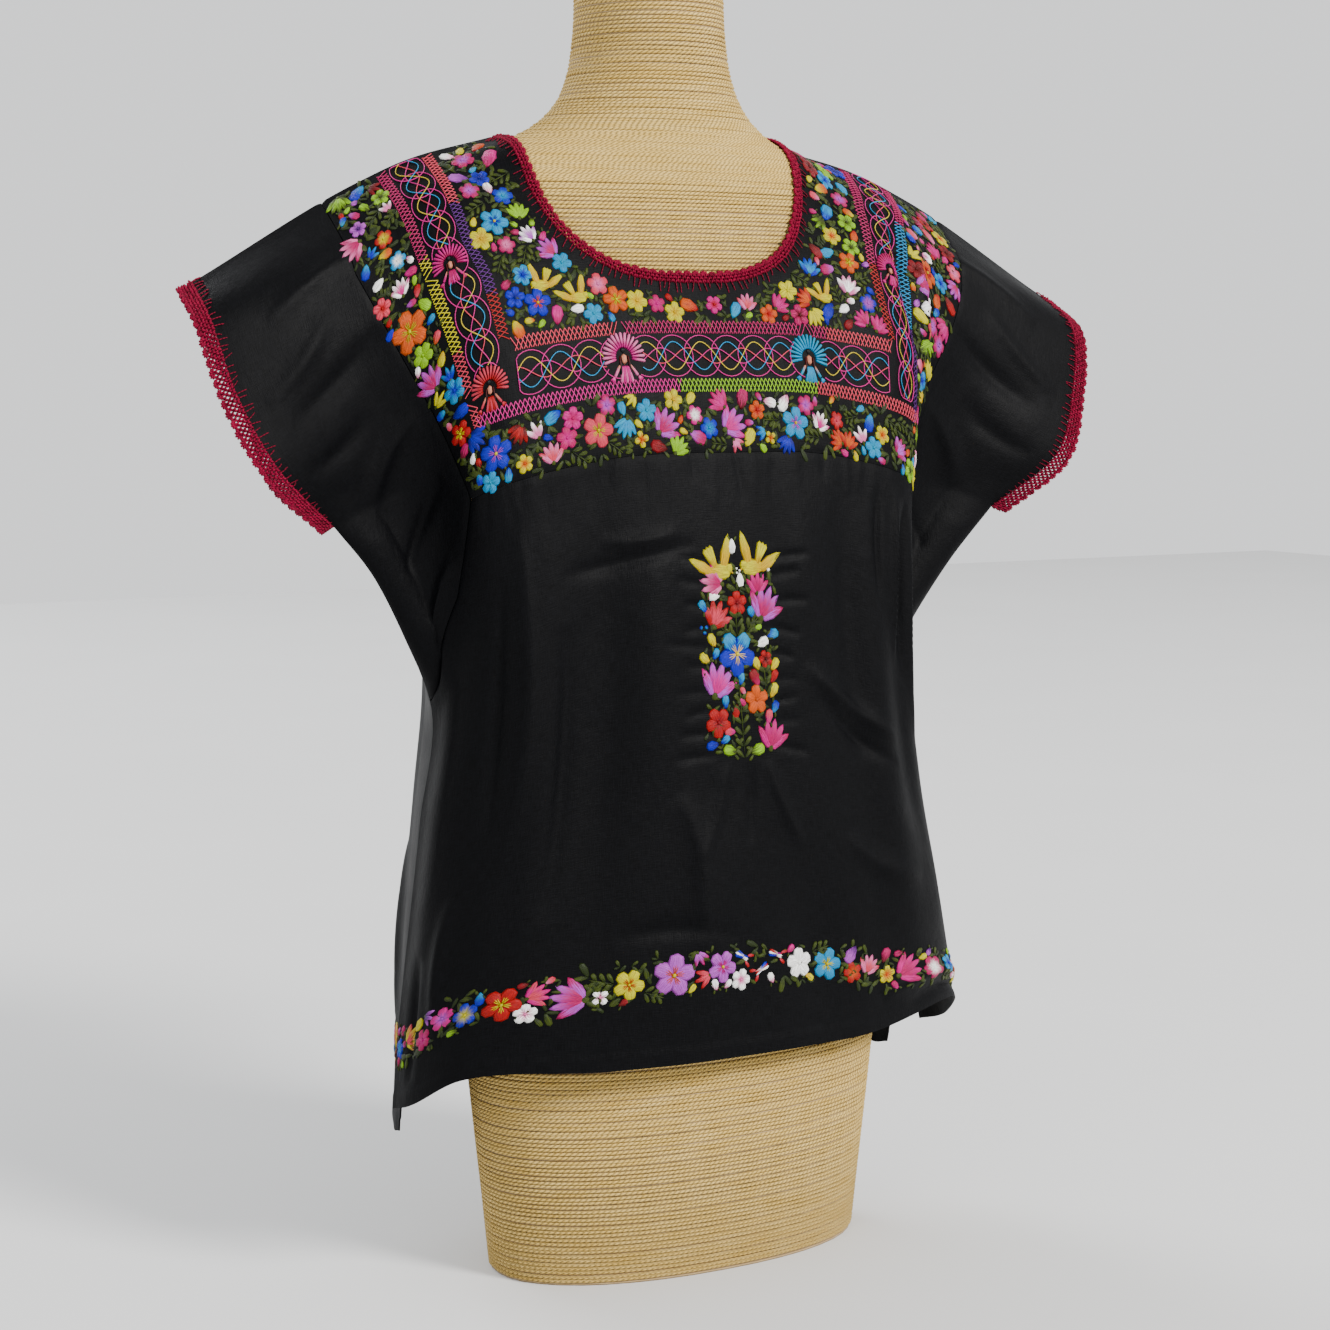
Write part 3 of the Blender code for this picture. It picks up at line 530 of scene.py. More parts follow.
# Colours along each border: up to a distance along it, then a thread
SIDE_OUTER_THREADS = [(0.095, "magenta"), (0.165, "yellow"), (0.3, "coral")]
SIDE_INNER_THREADS = [(0.060, "coral"), (0.135, "violet"), (0.3, "red")]
TOP_THREADS = [(0.085, "coral"), (0.270, "magenta"), (0.5, "coral")]
FOOT_THREADS = [(0.165, "pink"), (0.290, "lime"), (0.5, "coral")]
LEFT_OUTER_THREADS = [(0.060, "magenta"), (0.150, "turquoise"), (0.3, "violet")]
LEFT_INNER_THREADS = [(0.110, "magenta"), (0.3, "red")]
# Dolls in the openwork
FRONT_DOLLS = motifs("""
    doll -80 202 37 90 pink rose
    doll 86 202 37 90 turquoise sky
    doll -202 112 30 96 magenta pink
    doll -189 205 31 90 red coral
    doll 178 118 28 84 pink magenta
""")
BACK_DOLLS = motifs("""
    doll -84 203 30 90 turquoise sky
    doll 84 203 30 90 magenta pink
    doll -201 112 26 84 yellow cream
    doll 201 112 26 96 pink rose
""")

# Crochet edging
KNOT_PITCH = 0.0038
KNOT_LONG = 0.0036
KNOT_WIDE = 0.0020
KNOT_THICK = 0.0028
NECK_ROWS = (0.0010, 0.0034, 0.0056)
CUFF_ROWS = (0.0010, 0.0034, 0.0058, 0.0082, 0.0104)
SHELL_PITCH = 0.0074
SHELL = 0.0042
SPIKE_PITCH = 0.0048
SPIKE = 0.0072
SPIKE_RADIUS = 0.00042
KNOT_SINK = 0.0006      # how far a knot sits in the row below

# Cord round the form
CORD_PITCH = 0.0032
CORD_RADIUS = 0.0015
CORD_PROUD = 0.0002
CORD_POINTS = 38
NECK_CAP_Z = 0.972

# The view: where the camera stands, and its turn and dip in degrees
CAMERA_AT = (-1.0258, -1.7828, 0.6735)
CAMERA_TURN = 29.64
CAMERA_DIP = 6.17
LENS = 73.86
SENSOR = 36.0
FLOOR_HALF = 6.0


def through(knots, values, at):
    """The smooth curve through the values at the knots, read at each number of at; straight past both ends."""
    knots = np.asarray(knots, float)
    values = np.asarray(values, float)
    at = np.atleast_1d(np.asarray(at, float))
    slopes = np.gradient(values, knots, axis=0)
    inside = np.clip(at, knots[0], knots[-1])
    span = np.clip(np.searchsorted(knots, inside, side="right") - 1, 0, len(knots) - 2)
    width = (knots[span + 1] - knots[span])[:, None]
    part = (inside - knots[span])[:, None] / width
    square = part * part
    cube = square * part
    curve = (
        (2 * cube - 3 * square + 1) * values[span]
        + (cube - 2 * square + part) * width * slopes[span]
        + (3 * square - 2 * cube) * values[span + 1]
        + (cube - square) * width * slopes[span + 1]
    )
    end_slope = np.where((at < knots[0])[:, None], slopes[0], slopes[-1])
    return curve + (at - inside)[:, None] * end_slope


def read_rows(rows, down):
    """One row of a table at a distance down, without its first column."""
    table = np.array(rows, float)
    return through(table[:, 0], table[:, 1:], down)[0]


def smooth_step(value, low, high):
    """0 up to low, 1 from high, and a smooth rise between."""
    share = np.clip((value - low) / (high - low), 0, 1)
    return share * share * (3 - 2 * share)


def half_cut(down):
    """Centre line to the outer edge of the flat cut, at a distance down."""
    return np.interp(down, (CUFF_DEPTH, ARMPIT_DOWN, BACK_LENGTH), (CUFF, ARMPIT, HEM_HALF))


def half_armhole(down):
    """Centre line to the sleeve seam, at a distance down from the ridge to the armpit."""
    table = np.array(ARMHOLE)
    return np.interp(down, table[:, 0], table[:, 1])


def form_ratio(points):
    """1 on the dress form's surface, less inside it and more outside."""
    table = np.array(FORM)
    half_width, front, back, power = through(table[:, 0], table[:, 1:], points[:, 2]).T
    off_centre = np.abs(points[:, 1] - (front + back) / 2) / ((back - front) / 2)
    return ((np.abs(points[:, 0]) / half_width) ** power + off_centre ** power) ** (1 / power)


def clear_of_form(lattice):
    """The lattice, with points nearer to the form than the rest gap moved out from it, to the front or up."""
    points = lattice.reshape(-1, 3).copy()
    for _ in range(PUSH_STEPS):
        ratio = form_ratio(points)
        slope = np.zeros_like(points)
        for axis in (1, 2):
            aside = PROBE * np.eye(3)[axis]
            slope[:, axis] = (form_ratio(points + aside) - form_ratio(points - aside)) / (2 * PROBE)
        steepness = np.linalg.norm(slope, axis=1)
        short = REST_GAP - (ratio - 1) / steepness
        points += slope / steepness[:, None] * (PUSH_SHARE * np.maximum(short, 0))[:, None]
    return points.reshape(lattice.shape)


def spread_out(moves, passes):
    """Moves over a lattice, each pass mixing every one with its neighbours."""
    for _ in range(passes):
        for axis in (0, 1):
            width = [(1, 1) if axis == here else (0, 0) for here in range(3)]
            padded = np.pad(moves, width, mode="edge")
            size = moves.shape[axis]
            before, after = (np.take(padded, range(first, first + size), axis=axis) for first in (0, 2))
            moves = (before + 2 * moves + after) / 4
    return moves


def cubic_shares(part):
    """How much each of four neighbours counts at a part of the way from the second to the third."""
    square, cube = part * part, part ** 3
    return (
        (2 * square - part - cube) / 2, 1 + (3 * cube - 5 * square) / 2,
        (part + 4 * square - 3 * cube) / 2, (cube - square) / 2,
    )


def gathers(seed):
    """Short creases that fall from the yoke seam, uneven in place, length and lift."""
    pitch, longest, width, lift = GATHERS
    pick, found = random.Random(seed), []
    across = -GATHERED
    while across < GATHERED:
        top, foot = 1000 * YOKE_DOWN - 4, 1000 * YOKE_DOWN + longest * pick.uniform(0.35, 1)
        lean = pick.uniform(-5, 5)
        found.append(Crease((across, top), (across + lean, (top + foot) / 2), (across + 1.6 * lean, foot),
                            width * pick.uniform(0.8, 1.5), lift * pick.choice((-1, 1)) * pick.uniform(0.5, 1)))
        across += pitch * pick.uniform(0.7, 1.7)
    return found


def puckers(seed):
    """Short creases that run out sideways from under the centre flowers."""
    pitch, longest, width, lift = PUCKERS
    pick, found = random.Random(seed), []
    low, high, top, foot = (1000 * value for value in CENTRE_PANEL)
    for edge, way in ((low, -1), (high, 1)):
        down = top + 14
        while down < foot:
            end = edge + way * longest * pick.uniform(0.4, 1)
            sag = pick.uniform(-3, 5)
            found.append(Crease((edge - way * 12, down), ((edge + end) / 2, down + sag), (end, down + 2 * sag),
                                width * pick.uniform(0.8, 1.3), -lift * pick.uniform(0.5, 1)))
            down += pitch * pick.uniform(0.8, 1.5)
    return found


def crease_lift(creases, across, down):
    """The lift of all the creases together. Each runs along a bent line and dies away at both ends."""
    lift = np.zeros(np.shape(across))
    along = np.linspace(0, 1, 13)[:, None]
    for crease in creases:
        start, bend, end = (np.array(point) * MM for point in crease[:3])
        width = crease.width * MM
        line = (1 - along) ** 2 * start + 2 * along * (1 - along) * bend + along ** 2 * end
        low, high = line.min(axis=0) - 3 * width, line.max(axis=0) + 3 * width
        near = (across > low[0]) & (across < high[0]) & (down > low[1]) & (down < high[1])
        if not near.any():
            continue
        points = np.stack([across[near], down[near]], axis=-1)[:, None]
        steps = np.diff(line, axis=0)
        share = np.clip(np.sum((points - line[:-1]) * steps, axis=-1) / np.sum(steps * steps, axis=-1), 0, 1)
        apart = np.linalg.norm(points - line[:-1] - share[..., None] * steps, axis=-1)
        closest = apart.argmin(axis=1)
        rows = np.arange(len(closest))
        travelled = (closest + share[rows, closest]) / len(steps)
        taper = np.sin(math.pi * travelled) ** 0.7
        lift[near] += CREASE_DEPTH * crease.lift * MM * taper / (1 + (apart[rows, closest] / width) ** 2) ** 2
    return lift


class Cloth:
    """The front or the back cloth, as a lattice of points with the outward offset at each."""

    def __init__(self, rows, cuff, slit, folds, outward):
        columns = ACROSS_PER_SIDE + ACROSS_BEYOND
        self.across = np.arange(-columns, columns + 1) / ACROSS_PER_SIDE
        self.down = np.arange(round(BACK_LENGTH / DOWN_STEP) + 1) * DOWN_STEP
        self.outward = outward
        self.points = np.array([self.line(rows, self.edge(cuff, slit, down), down) for down in self.down])
        self.points += self.normals() * self.fold_lift(folds)[:, :, None]
        for _ in range(PUSH_ROUNDS):
            self.points += spread_out(clear_of_form(self.points) - self.points, SPREAD_PASSES)
        self.points = clear_of_form(self.points)
        self.offset = self.normals()

    def edge(self, cuff, slit, down):
        """Where the cloth's outer edge hangs."""
        if down <= CUFF_DEPTH:
            return read_rows(cuff, down)
        return read_rows(UNDERARM_AND_SIDE if down <= SLIT_DOWN else slit, down)

    def line(self, rows, edge, down):
        """The lattice's points at one distance down, from the wearer's right to their left."""
        centre_y, centre_z, *places = read_rows(rows, down)
        corner, valley = np.array(places[:3]), np.array(places[3:])
        centre = np.array((0, centre_y, centre_z))
        share = MID / CORNER
        middle = centre + (corner - centre) * (share, share ** MID_Y_POWER, share ** MID_Z_POWER)
        mirrored = middle * (-1, 1, 1)
        knots = (-MID, 0, MID, CORNER, VALLEY, half_cut(down))
        across = self.across * half_cut(down)
        found = through(knots, (mirrored, centre, middle, corner, valley, edge), np.abs(across))
        found[:, 1] += self.outward * self.roll(down)
        found[:, ::2] += self.sway(across, down)
        return found * np.stack([np.sign(across), np.ones_like(across), np.ones_like(across)], axis=1)

    def sway(self, across, down):
        """(x, z) shift of each point of a line, none on the wearer's right or at the cuffs."""
        inward, raised = read_rows(LEFT_SWAY, down)
        share = smooth_step(across, SWAY_STARTS, CORNER)
        if down < ARMPIT_DOWN:
            held = smooth_step(across, VALLEY, half_cut(down))
            share *= 1 - held * (1 - smooth_step(down, YOKE_DOWN, ARMPIT_DOWN))
        return share[:, None] * (-inward, raised)

    def roll(self, down):
        """How far the underarm fold's soft roll stands out from the line between its two sides."""
        inward = np.clip((1 - np.abs(self.across)) / ROLL_SHARE, 0, 1)
        along = np.interp(down, (ROLL_STARTS, ROLL_FULL, ARMPIT_DOWN, SLIT_DOWN), (0, 1, 1, 0))
        return UNDERARM_ROLL * along * np.sqrt(np.sin(math.pi * inward))

    def normals(self):
        """Unit vectors out of the cloth."""
        sideways = np.gradient(self.points, axis=1)
        downwards = np.gradient(self.points, axis=0)
        out = self.outward * np.cross(sideways, downwards)
        return out / np.linalg.norm(out, axis=2, keepdims=True)

    def fold_lift(self, folds):
        """How far the folds lift each lattice point."""
        down = self.down[:, None]
        across = self.across[None, :] * half_cut(self.down)[:, None]
        lift = np.zeros_like(across)
        for fold in folds:
            share = np.clip((down - fold.down_top) / (fold.down_foot - fold.down_top), 0, 1)
            middle = fold.across_top + (fold.across_foot - fold.across_top) * share
            ridge = np.exp(-(((across - middle) / fold.width) ** 2))
            lift += fold.lift * np.sin(math.pi * share ** 0.8) ** 1.5 * ridge
        return lift

    def crease(self, creases, length):
        """Keeps the creases and the turned hem that surface() adds to the hanging cloth."""
        self.creases, self.length = creases, length

    def relief(self, across, down):
        """How far creases, gathers, the seams' sinking and the turned hem lift the cloth."""
        edge_share = np.clip((1 - np.abs(across) / half_cut(down)) / CREASES_END, 0, 1)
        low_share = np.clip(down / RIDGE_PLAIN, 0, 1)
        lift = crease_lift(self.creases, across, down) * edge_share * low_share
        seam = np.where(down < ARMPIT_DOWN, np.abs(np.abs(across) - half_armhole(down)), 1.0)
        foot = np.where(np.abs(across) < half_armhole(YOKE_DOWN), np.abs(down - YOKE_DOWN), 1.0)
        lift -= SEAM_SINK * np.exp(-(np.minimum(seam, foot) / SEAM_HALF) ** 2)
        turned = smooth_step(down, self.length - HEM_TURNED, self.length - HEM_TURNED + HEM_STEP)
        return lift + HEM_RISE * turned

    def surface(self, across, down, lift=0.0):
        """Where points of the flat cut hang, lifted off the creased cloth."""
        across, down = np.broadcast_arrays(np.asarray(across, float), np.asarray(down, float))
        column = across / half_cut(down) * ACROSS_PER_SIDE + ACROSS_PER_SIDE + ACROSS_BEYOND
        row = down / DOWN_STEP
        left = np.clip(column.astype(int), 0, len(self.across) - 2)
        top = np.clip(row.astype(int), 0, len(self.down) - 2)
        column_shares, row_shares = cubic_shares(column - left), cubic_shares(row - top)

        def mix(table):
            padded = np.pad(table, ((1, 1), (1, 1), (0, 0)), mode="reflect", reflect_type="odd")
            return sum(
                (row_shares[i] * column_shares[j])[..., None] * padded[top + i, left + j]
                for i in range(4) for j in range(4)
            )

        return mix(self.points) + mix(self.offset) * (self.relief(across, down) + lift)[..., None]


def share_seams(front, back):
    """Gives both cloths the same outward offset along the ridge, the underarms and the side seams."""
    rows = slice(round(CUFF_DEPTH / DOWN_STEP), round(SLIT_DOWN / DOWN_STEP) + 1)
    ends = (ACROSS_BEYOND, len(front.across) - 1 - ACROSS_BEYOND)
    for seam in [(0, slice(None))] + [(rows, end) for end in ends]:
        both = front.offset[seam] + back.offset[seam]
        both /= np.linalg.norm(both, axis=-1, keepdims=True)
        lean = np.sum(both * front.offset[seam], axis=-1, keepdims=True)
        front.offset[seam] = back.offset[seam] = both / np.maximum(lean, 0.5)


# Finishes


def daylight(name):
    """A thread's colour as the renderer needs it."""
    digits = THREADS[name]
    shares = np.array([int(digits[at:at + 2], 16) / 255 for at in (0, 2, 4)])
    plain = np.where(shares <= 0.04045, shares / 12.92, ((shares + 0.055) / 1.055) ** 2.4)
    vivid = np.clip(plain.mean() + (plain - plain.mean()) * VIVID, 0.0005, 1)
    return (*((1 - FADE * (vivid.max() - vivid.min()) / vivid.max()) * vivid), 1.0)


def add_node(tree, kind, settings, inputs):
    """A node with its settings, and each input set to a value or joined to an output. _2 is the third input."""
    made = tree.nodes.new(kind)
    for setting, value in dict(settings).items():
        setattr(made, setting, value)
    for name, value in inputs.items():
        socket = made.inputs[int(name[1:])] if name[0] == "_" else made.inputs[name.replace("_", " ")]
        put(tree, socket, value)
    return made


def put(tree, socket, value):
    """Joins a socket to an output, or sets it to a value."""
    if isinstance(value, bpy.types.NodeSocket):
        tree.links.new(value, socket)
    else:
        socket.default_value = value


class Finish:
    """A material in the making: a shader, and short ways to add and join nodes."""

    def __init__(self, name, roughness, sheen=0.0, sheen_tint=(1, 1, 1, 1), specular=0.5, anisotropy=0.0):
        self.material = bpy.data.materials.new(name)
        self.material.use_nodes = True
        self.tree = self.material.node_tree
        self.shader = self.tree.nodes["Principled BSDF"]
        for socket, value in (
            ("Roughness", roughness), ("Sheen Weight", sheen), ("Sheen Tint", sheen_tint), ("Sheen Roughness", 0.4),
            ("Specular IOR Level", specular), ("Anisotropic", anisotropy),
        ):
            self.shader.inputs[socket].default_value = value

    def node(self, kind, settings=(), **inputs):
        return add_node(self.tree, "ShaderNode" + kind, settings, inputs)

    def attribute(self, name, output="Vector"):
        return self.node("Attribute", {"attribute_name": name}).outputs[output]

    def math(self, operation, first, second=0.0, third=0.0):
        return self.node("Math", {"operation": operation}, _0=first, _1=second, _2=third).outputs[0]

    def mix(self, share, first, second, blend="MIX"):
        made = self.node("Mix", {"data_type": "RGBA", "blend_type": blend}, _0=share, _6=first, _7=second)
        return made.outputs[2]

    def noise(self, vector, scale, detail=2.0, roughness=0.5):
        return self.node("TexNoise", Vector=vector, Scale=scale, Detail=detail, Roughness=roughness).outputs["Fac"]

    def stretched(self, vector, scale):
        return self.node("Mapping", Vector=vector, Scale=scale).outputs[0]

    def between(self, value, low, high, to_low=0.0, to_high=1.0):
        return self.node("MapRange", Value=value, _1=low, _2=high, _3=to_low, _4=to_high).outputs[0]

    def two_threads(self, share, shade):
        """The heart's thread turning to the tip's, multiplied by the painted shade."""
        base = self.mix(share, self.attribute("heart", "Color"), self.attribute("thread", "Color"))
        return self.mix(1.0, base, self.node("CombineColor", _0=shade, _1=shade, _2=shade).outputs[0], "MULTIPLY")

    def bump(self, height, distance, strength=1.0, under=None):
        joined = {} if under is None else {"Normal": under}
        return self.node("Bump", Height=height, Distance=distance, Strength=strength, **joined).outputs[0]

    def done(self, colour, normal=None, roughness=None):
        """The finished material."""
        for socket, value in (("Base Color", colour), ("Normal", normal), ("Roughness", roughness)):
            if value is not None:
                put(self.tree, self.shader.inputs[socket], value)
        return self.material


def black_cotton(name):
    """Plain-weave black cotton: crossing slubs on the cut's own UV map, and faint rub along its folds."""
    finish = Finish(name, 0.46, sheen=0.002, sheen_tint=(0.7, 0.8, 1.0, 1), specular=0.045)
    cut = finish.node("UVMap", {"uv_map": "cut"}).outputs[0]
    warp = finish.noise(finish.stretched(cut, (1500, 110, 1)), 1.0, 3)
    weft = finish.noise(finish.stretched(cut, (110, 1500, 1)), 1.0, 3)
    weave = finish.math("ADD", warp, weft)
    cloudy = finish.noise(finish.stretched(cut, (9, 9, 9)), 1.0, 4)
    colour = finish.mix(finish.between(weave, 0.75, 1.3), (0.0008, 0.0008, 0.0010, 1), (0.0026, 0.0027, 0.0034, 1))
    crumple = finish.noise(finish.stretched(cut, (55, 40, 1)), 1.0, 5, 0.6)
    under = finish.bump(crumple, 0.0016, 0.55)
    normal = finish.bump(weave, 0.00022, 0.8, under)
    return finish.done(colour, normal, finish.between(cloudy, 0.3, 0.7, 0.42, 0.60))


def satin_thread(name, roughness=0.46, sheen=0.01, specular=0.16):
    """Embroidery thread laid side by side, with the tip and heart colours that each stitch carries, and painted
    shade: darker in the grooves between its lanes, lighter on their tops.
    """
    finish = Finish(name, roughness, sheen=sheen, specular=specular, anisotropy=0.35)
    lanes = finish.noise(finish.stretched(finish.attribute("strand"), (120, 1900, 1)), 1.0, 2, 0.7)
    ragged = finish.between(lanes, 0.3, 0.7, -0.28, 0.28)
    blend = finish.math("ADD", finish.attribute("reach", "Fac"), ragged)
    # painted shade: the same noise as the bump, so the grooves between lanes are darkened and the raised lanes
    # lightened
    shade = finish.between(lanes, 0.30, 0.66, 0.42, 1.12)
    colour = finish.two_threads(finish.between(blend, 0.18, 0.62), shade)
    return finish.done(colour, finish.bump(lanes, 0.0006, 1.0))


def twisted_thread(name, pitch, roughness, sheen, depth, fuzz, specular=0.3, painted_shade_floor=0.72):
    """Twisted yarn or cord: plies that wind round each strand, and fine fibres along it, with painted shade in the
    grooves between them and lighter tops, down to a given floor.
    """
    finish = Finish(name, roughness, sheen=sheen, specular=specular)
    strand = finish.attribute("strand")
    along, around = finish.node("SeparateXYZ", Vector=strand).outputs[:2]
    lead = finish.math("ADD", finish.math("MULTIPLY", along, 1 / pitch), finish.math("MULTIPLY", around, 2.0))
    ply = finish.math("ABSOLUTE", finish.math("SINE", finish.math("MULTIPLY", lead, math.pi)))
    fibres = finish.noise(finish.stretched(strand, (fuzz, 9, 1)), 1.0, 4, 0.7)
    # painted shade: the bump's plies and fibres, darker in their grooves down to the given floor, lighter on their
    # tops
    shade = finish.between(finish.math("ADD", ply, fibres), 0.4, 1.4, painted_shade_floor, 1.12)
    patchy = finish.noise(finish.stretched(strand, (26, 0.6, 1)), 1.0, 3)
    colour = finish.two_threads(finish.between(patchy, 0.15, 0.85), shade)
    return finish.done(colour, finish.bump(ply, depth, 1.0, finish.bump(fibres, 0.0003, 0.7)))


def plain_jute(name):
    """The form under its cord, seen only between two turns: its fibres' tone, and painted shade in the grooves of
    the turns.
    """
    finish = Finish(name, 0.9, sheen=0.1, specular=0.2)
    place = finish.node("TexCoord").outputs["Object"]
    turns = finish.node("TexWave", {"bands_direction": "Z"}, Vector=place,
                        Scale=1 / CORD_PITCH / math.tau * math.pi, Distortion=0.4).outputs["Fac"]
    fibres = finish.noise(finish.stretched(place, (90, 90, 900)), 1.0, 4)
    # the fibres' own tone, times painted shade where the turns' wave sinks into the grooves that its bump makes
    colour = finish.mix(finish.math("MULTIPLY", turns, fibres), (0.20, 0.13, 0.06, 1), (0.52, 0.38, 0.19, 1))
    return finish.done(colour, finish.bump(turns, 0.0006))


def pale_floor(name):
    """Matt pale grey, faintly mottled."""
    finish = Finish(name, 0.85, specular=0.2)
    mottle = finish.noise(finish.node("TexCoord").outputs["Object"], 3.0, 4)
    return finish.done(finish.mix(mottle, (0.57, 0.57, 0.568, 1), (0.60, 0.60, 0.598, 1)))


# Node trees that lay stitches and threads


class Tree:
    """A Geometry Nodes tree with named inputs, and short ways to add and join nodes."""

    def __init__(self, name, **sockets):
        self.tree = bpy.data.node_groups.new(name, "GeometryNodeTree")
        self.tree.interface.new_socket("Geometry", in_out="OUTPUT", socket_type="NodeSocketGeometry")
        self.tree.interface.new_socket("Geometry", in_out="INPUT", socket_type="NodeSocketGeometry")
        self.identifiers = {
            label.replace("_", " "): self.tree.interface.new_socket(
                label.replace("_", " "), in_out="INPUT", socket_type="NodeSocket" + kind).identifier
            for label, kind in sockets.items()
        }
        self.inputs = self.tree.nodes.new("NodeGroupInput").outputs

    def node(self, kind, settings=(), **inputs):
        return add_node(self.tree, kind, settings, inputs)

    def read(self, name, kind="FLOAT_VECTOR"):
        return self.node("GeometryNodeInputNamedAttribute", {"data_type": kind}, Name=name).outputs[0]

    def store(self, geometry, name, value, kind="FLOAT_VECTOR"):
        return self.node("GeometryNodeStoreNamedAttribute", {"data_type": kind, "domain": "POINT"},
                         Geometry=geometry, Name=name, Value=value).outputs[0]

    def end(self, geometry):
        real = self.node("GeometryNodeRealizeInstances", Geometry=geometry).outputs[0]
        painted = self.node("GeometryNodeSetMaterial", Geometry=real, Material=self.inputs["Finish"]).outputs[0]
        self.node("NodeGroupOutput", Geometry=painted)

    def bake(self, name, mesh, **values):
        """Runs the tree on a mesh and returns the plain mesh that it makes, as an object."""
        carrier = bpy.data.objects.new(name + "_plan", mesh)
        bpy.context.scene.collection.objects.link(carrier)
        modifier = carrier.modifiers.new("lay", "NODES")
        modifier.node_group = self.tree
        for label, value in values.items():
            modifier[self.identifiers[label.replace("_", " ")]] = value
        laid = bpy.data.meshes.new_from_object(carrier.evaluated_get(bpy.context.evaluated_depsgraph_get()))
        bpy.data.objects.remove(carrier)
        laid.name = name
        return laid


def stitch_tree():
    """Lays one raised stitch on each point, turned and sized as the point says."""
    tree = Tree("lay_stitches", Shapes="Collection", Finish="Material")
    shapes = tree.node("GeometryNodeCollectionInfo", Collection=tree.inputs["Shapes"], _1=True, _2=True).outputs[0]
    turn = tree.node("ShaderNodeCombineXYZ", Z=tree.read("turn", "FLOAT")).outputs[0]
    laid = tree.node(
        "GeometryNodeInstanceOnPoints", Points=tree.inputs["Geometry"], Instance=shapes, _3=True,
        _4=tree.read("shape", "INT"), Rotation=turn, Scale=tree.read("size"),
    ).outputs[0]
    real = tree.node("GeometryNodeRealizeInstances", Geometry=laid).outputs[0]
    here = tree.node("GeometryNodeInputPosition").outputs[0]
    root = tree.read("root")
    from_root = tree.node("ShaderNodeVectorMath", {"operation": "SUBTRACT"}, _0=here, _1=root).outputs[0]
    back = tree.node("ShaderNodeMath", {"operation": "MULTIPLY"}, _0=tree.read("turn", "FLOAT"), _1=-1.0).outputs[0]
    strand = tree.node("ShaderNodeVectorRotate", {"rotation_type": "Z_AXIS"},
                       Vector=from_root, Angle=back).outputs[0]
    spread = tree.node("ShaderNodeVectorMath", {"operation": "ADD"}, _0=strand, _1=root).outputs[0]
    tree.end(tree.store(real, "strand", spread))
    return tree


def thread_tree():
    """Runs a round thread along each line of a mesh."""
    tree = Tree("run_threads", Radius="Float", Sides="Int", Finish="Material")
    lines = tree.node("GeometryNodeMeshToCurve", Mesh=tree.inputs["Geometry"]).outputs[0]
    lines = tree.store(lines, "along", tree.node("GeometryNodeSplineParameter").outputs["Length"], "FLOAT")
    round_ = tree.node("GeometryNodeCurvePrimitiveCircle", Resolution=tree.inputs["Sides"],
                       Radius=tree.inputs["Radius"]).outputs[0]
    round_ = tree.store(round_, "around", tree.node("GeometryNodeSplineParameter").outputs["Factor"], "FLOAT")
    tube = tree.node("GeometryNodeCurveToMesh", Curve=lines, Profile_Curve=round_, Fill_Caps=True).outputs[0]
    along, around = tree.read("along", "FLOAT"), tree.read("around", "FLOAT")
    strand = tree.node("ShaderNodeCombineXYZ", X=along, Y=around).outputs[0]
    tree.end(tree.store(tube, "strand", strand))
    return tree


PETAL, ROUND, BAR = 0, 1, 2
Pad = namedtuple("Pad", "shape across down length width height turn tip heart")


def raised_stitch(name, places, widths, heights, sides=4):
    """A closed pad from its root at 0 to its tip at 1, one long, wide and high."""
    stations = len(places)
    corners, faces, reach = [(0.0, 0.0, 0.0)], [], [0.0]
    for x, width, height in zip(places, widths, heights):
        for side in range(sides + 1):
            angle = math.pi * side / sides
            corners.append((x, -math.cos(angle) * width / 2, math.sin(angle) ** 0.8 * height))
            reach.append(x)
    corners.append((1.0, 0.0, 0.0))
    reach.append(1.0)
    row = sides + 1
    last = len(corners) - 1
    for side in range(sides):
        faces.append((0, 1 + side, 2 + side)[::-1])
        faces.append((last, 1 + (stations - 1) * row + side, 2 + (stations - 1) * row + side))
        for station in range(stations - 1):
            here = 1 + station * row + side
            faces.append((here, here + 1, here + 1 + row, here + row)[::-1])
    below = [0] + [1 + station * row for station in range(stations)] + [last]
    below += [1 + station * row + sides for station in reversed(range(stations))]
    faces.append(tuple(below)[::-1])
    mesh = bpy.data.meshes.new(name)
    mesh.from_pydata(corners, [], faces)
    outward(mesh)
    mesh.attributes.new("reach", "FLOAT", "POINT").data.foreach_set("value", reach)
    mesh.shade_smooth()
    return bpy.data.objects.new(name, mesh)


def stitch_shapes():
    """The three raised stitches, in the order of their numbers: a petal, a round knot and a long bar."""
    shapes = bpy.data.collections.new("stitch_shapes")
    shapes.objects.link(raised_stitch("1_petal", (0.16, 0.52, 0.86), (0.52, 1.0, 0.80), (0.55, 1.0, 0.75)))
    shapes.objects.link(raised_stitch("2_round", (0.25, 0.75), (0.92, 0.92), (0.9, 0.9), sides=5))
    shapes.objects.link(raised_stitch("3_bar", (0.12, 0.5, 0.88), (0.8, 1.0, 1.0), (0.8, 1.0, 0.9), sides=3))
    return shapes


def outward(mesh):
    """Turns a closed mesh's faces outwards."""
    built = bmesh.new()
    built.from_mesh(mesh)
    bmesh.ops.recalc_face_normals(built, faces=built.faces)
    built.to_mesh(mesh)
    built.free()


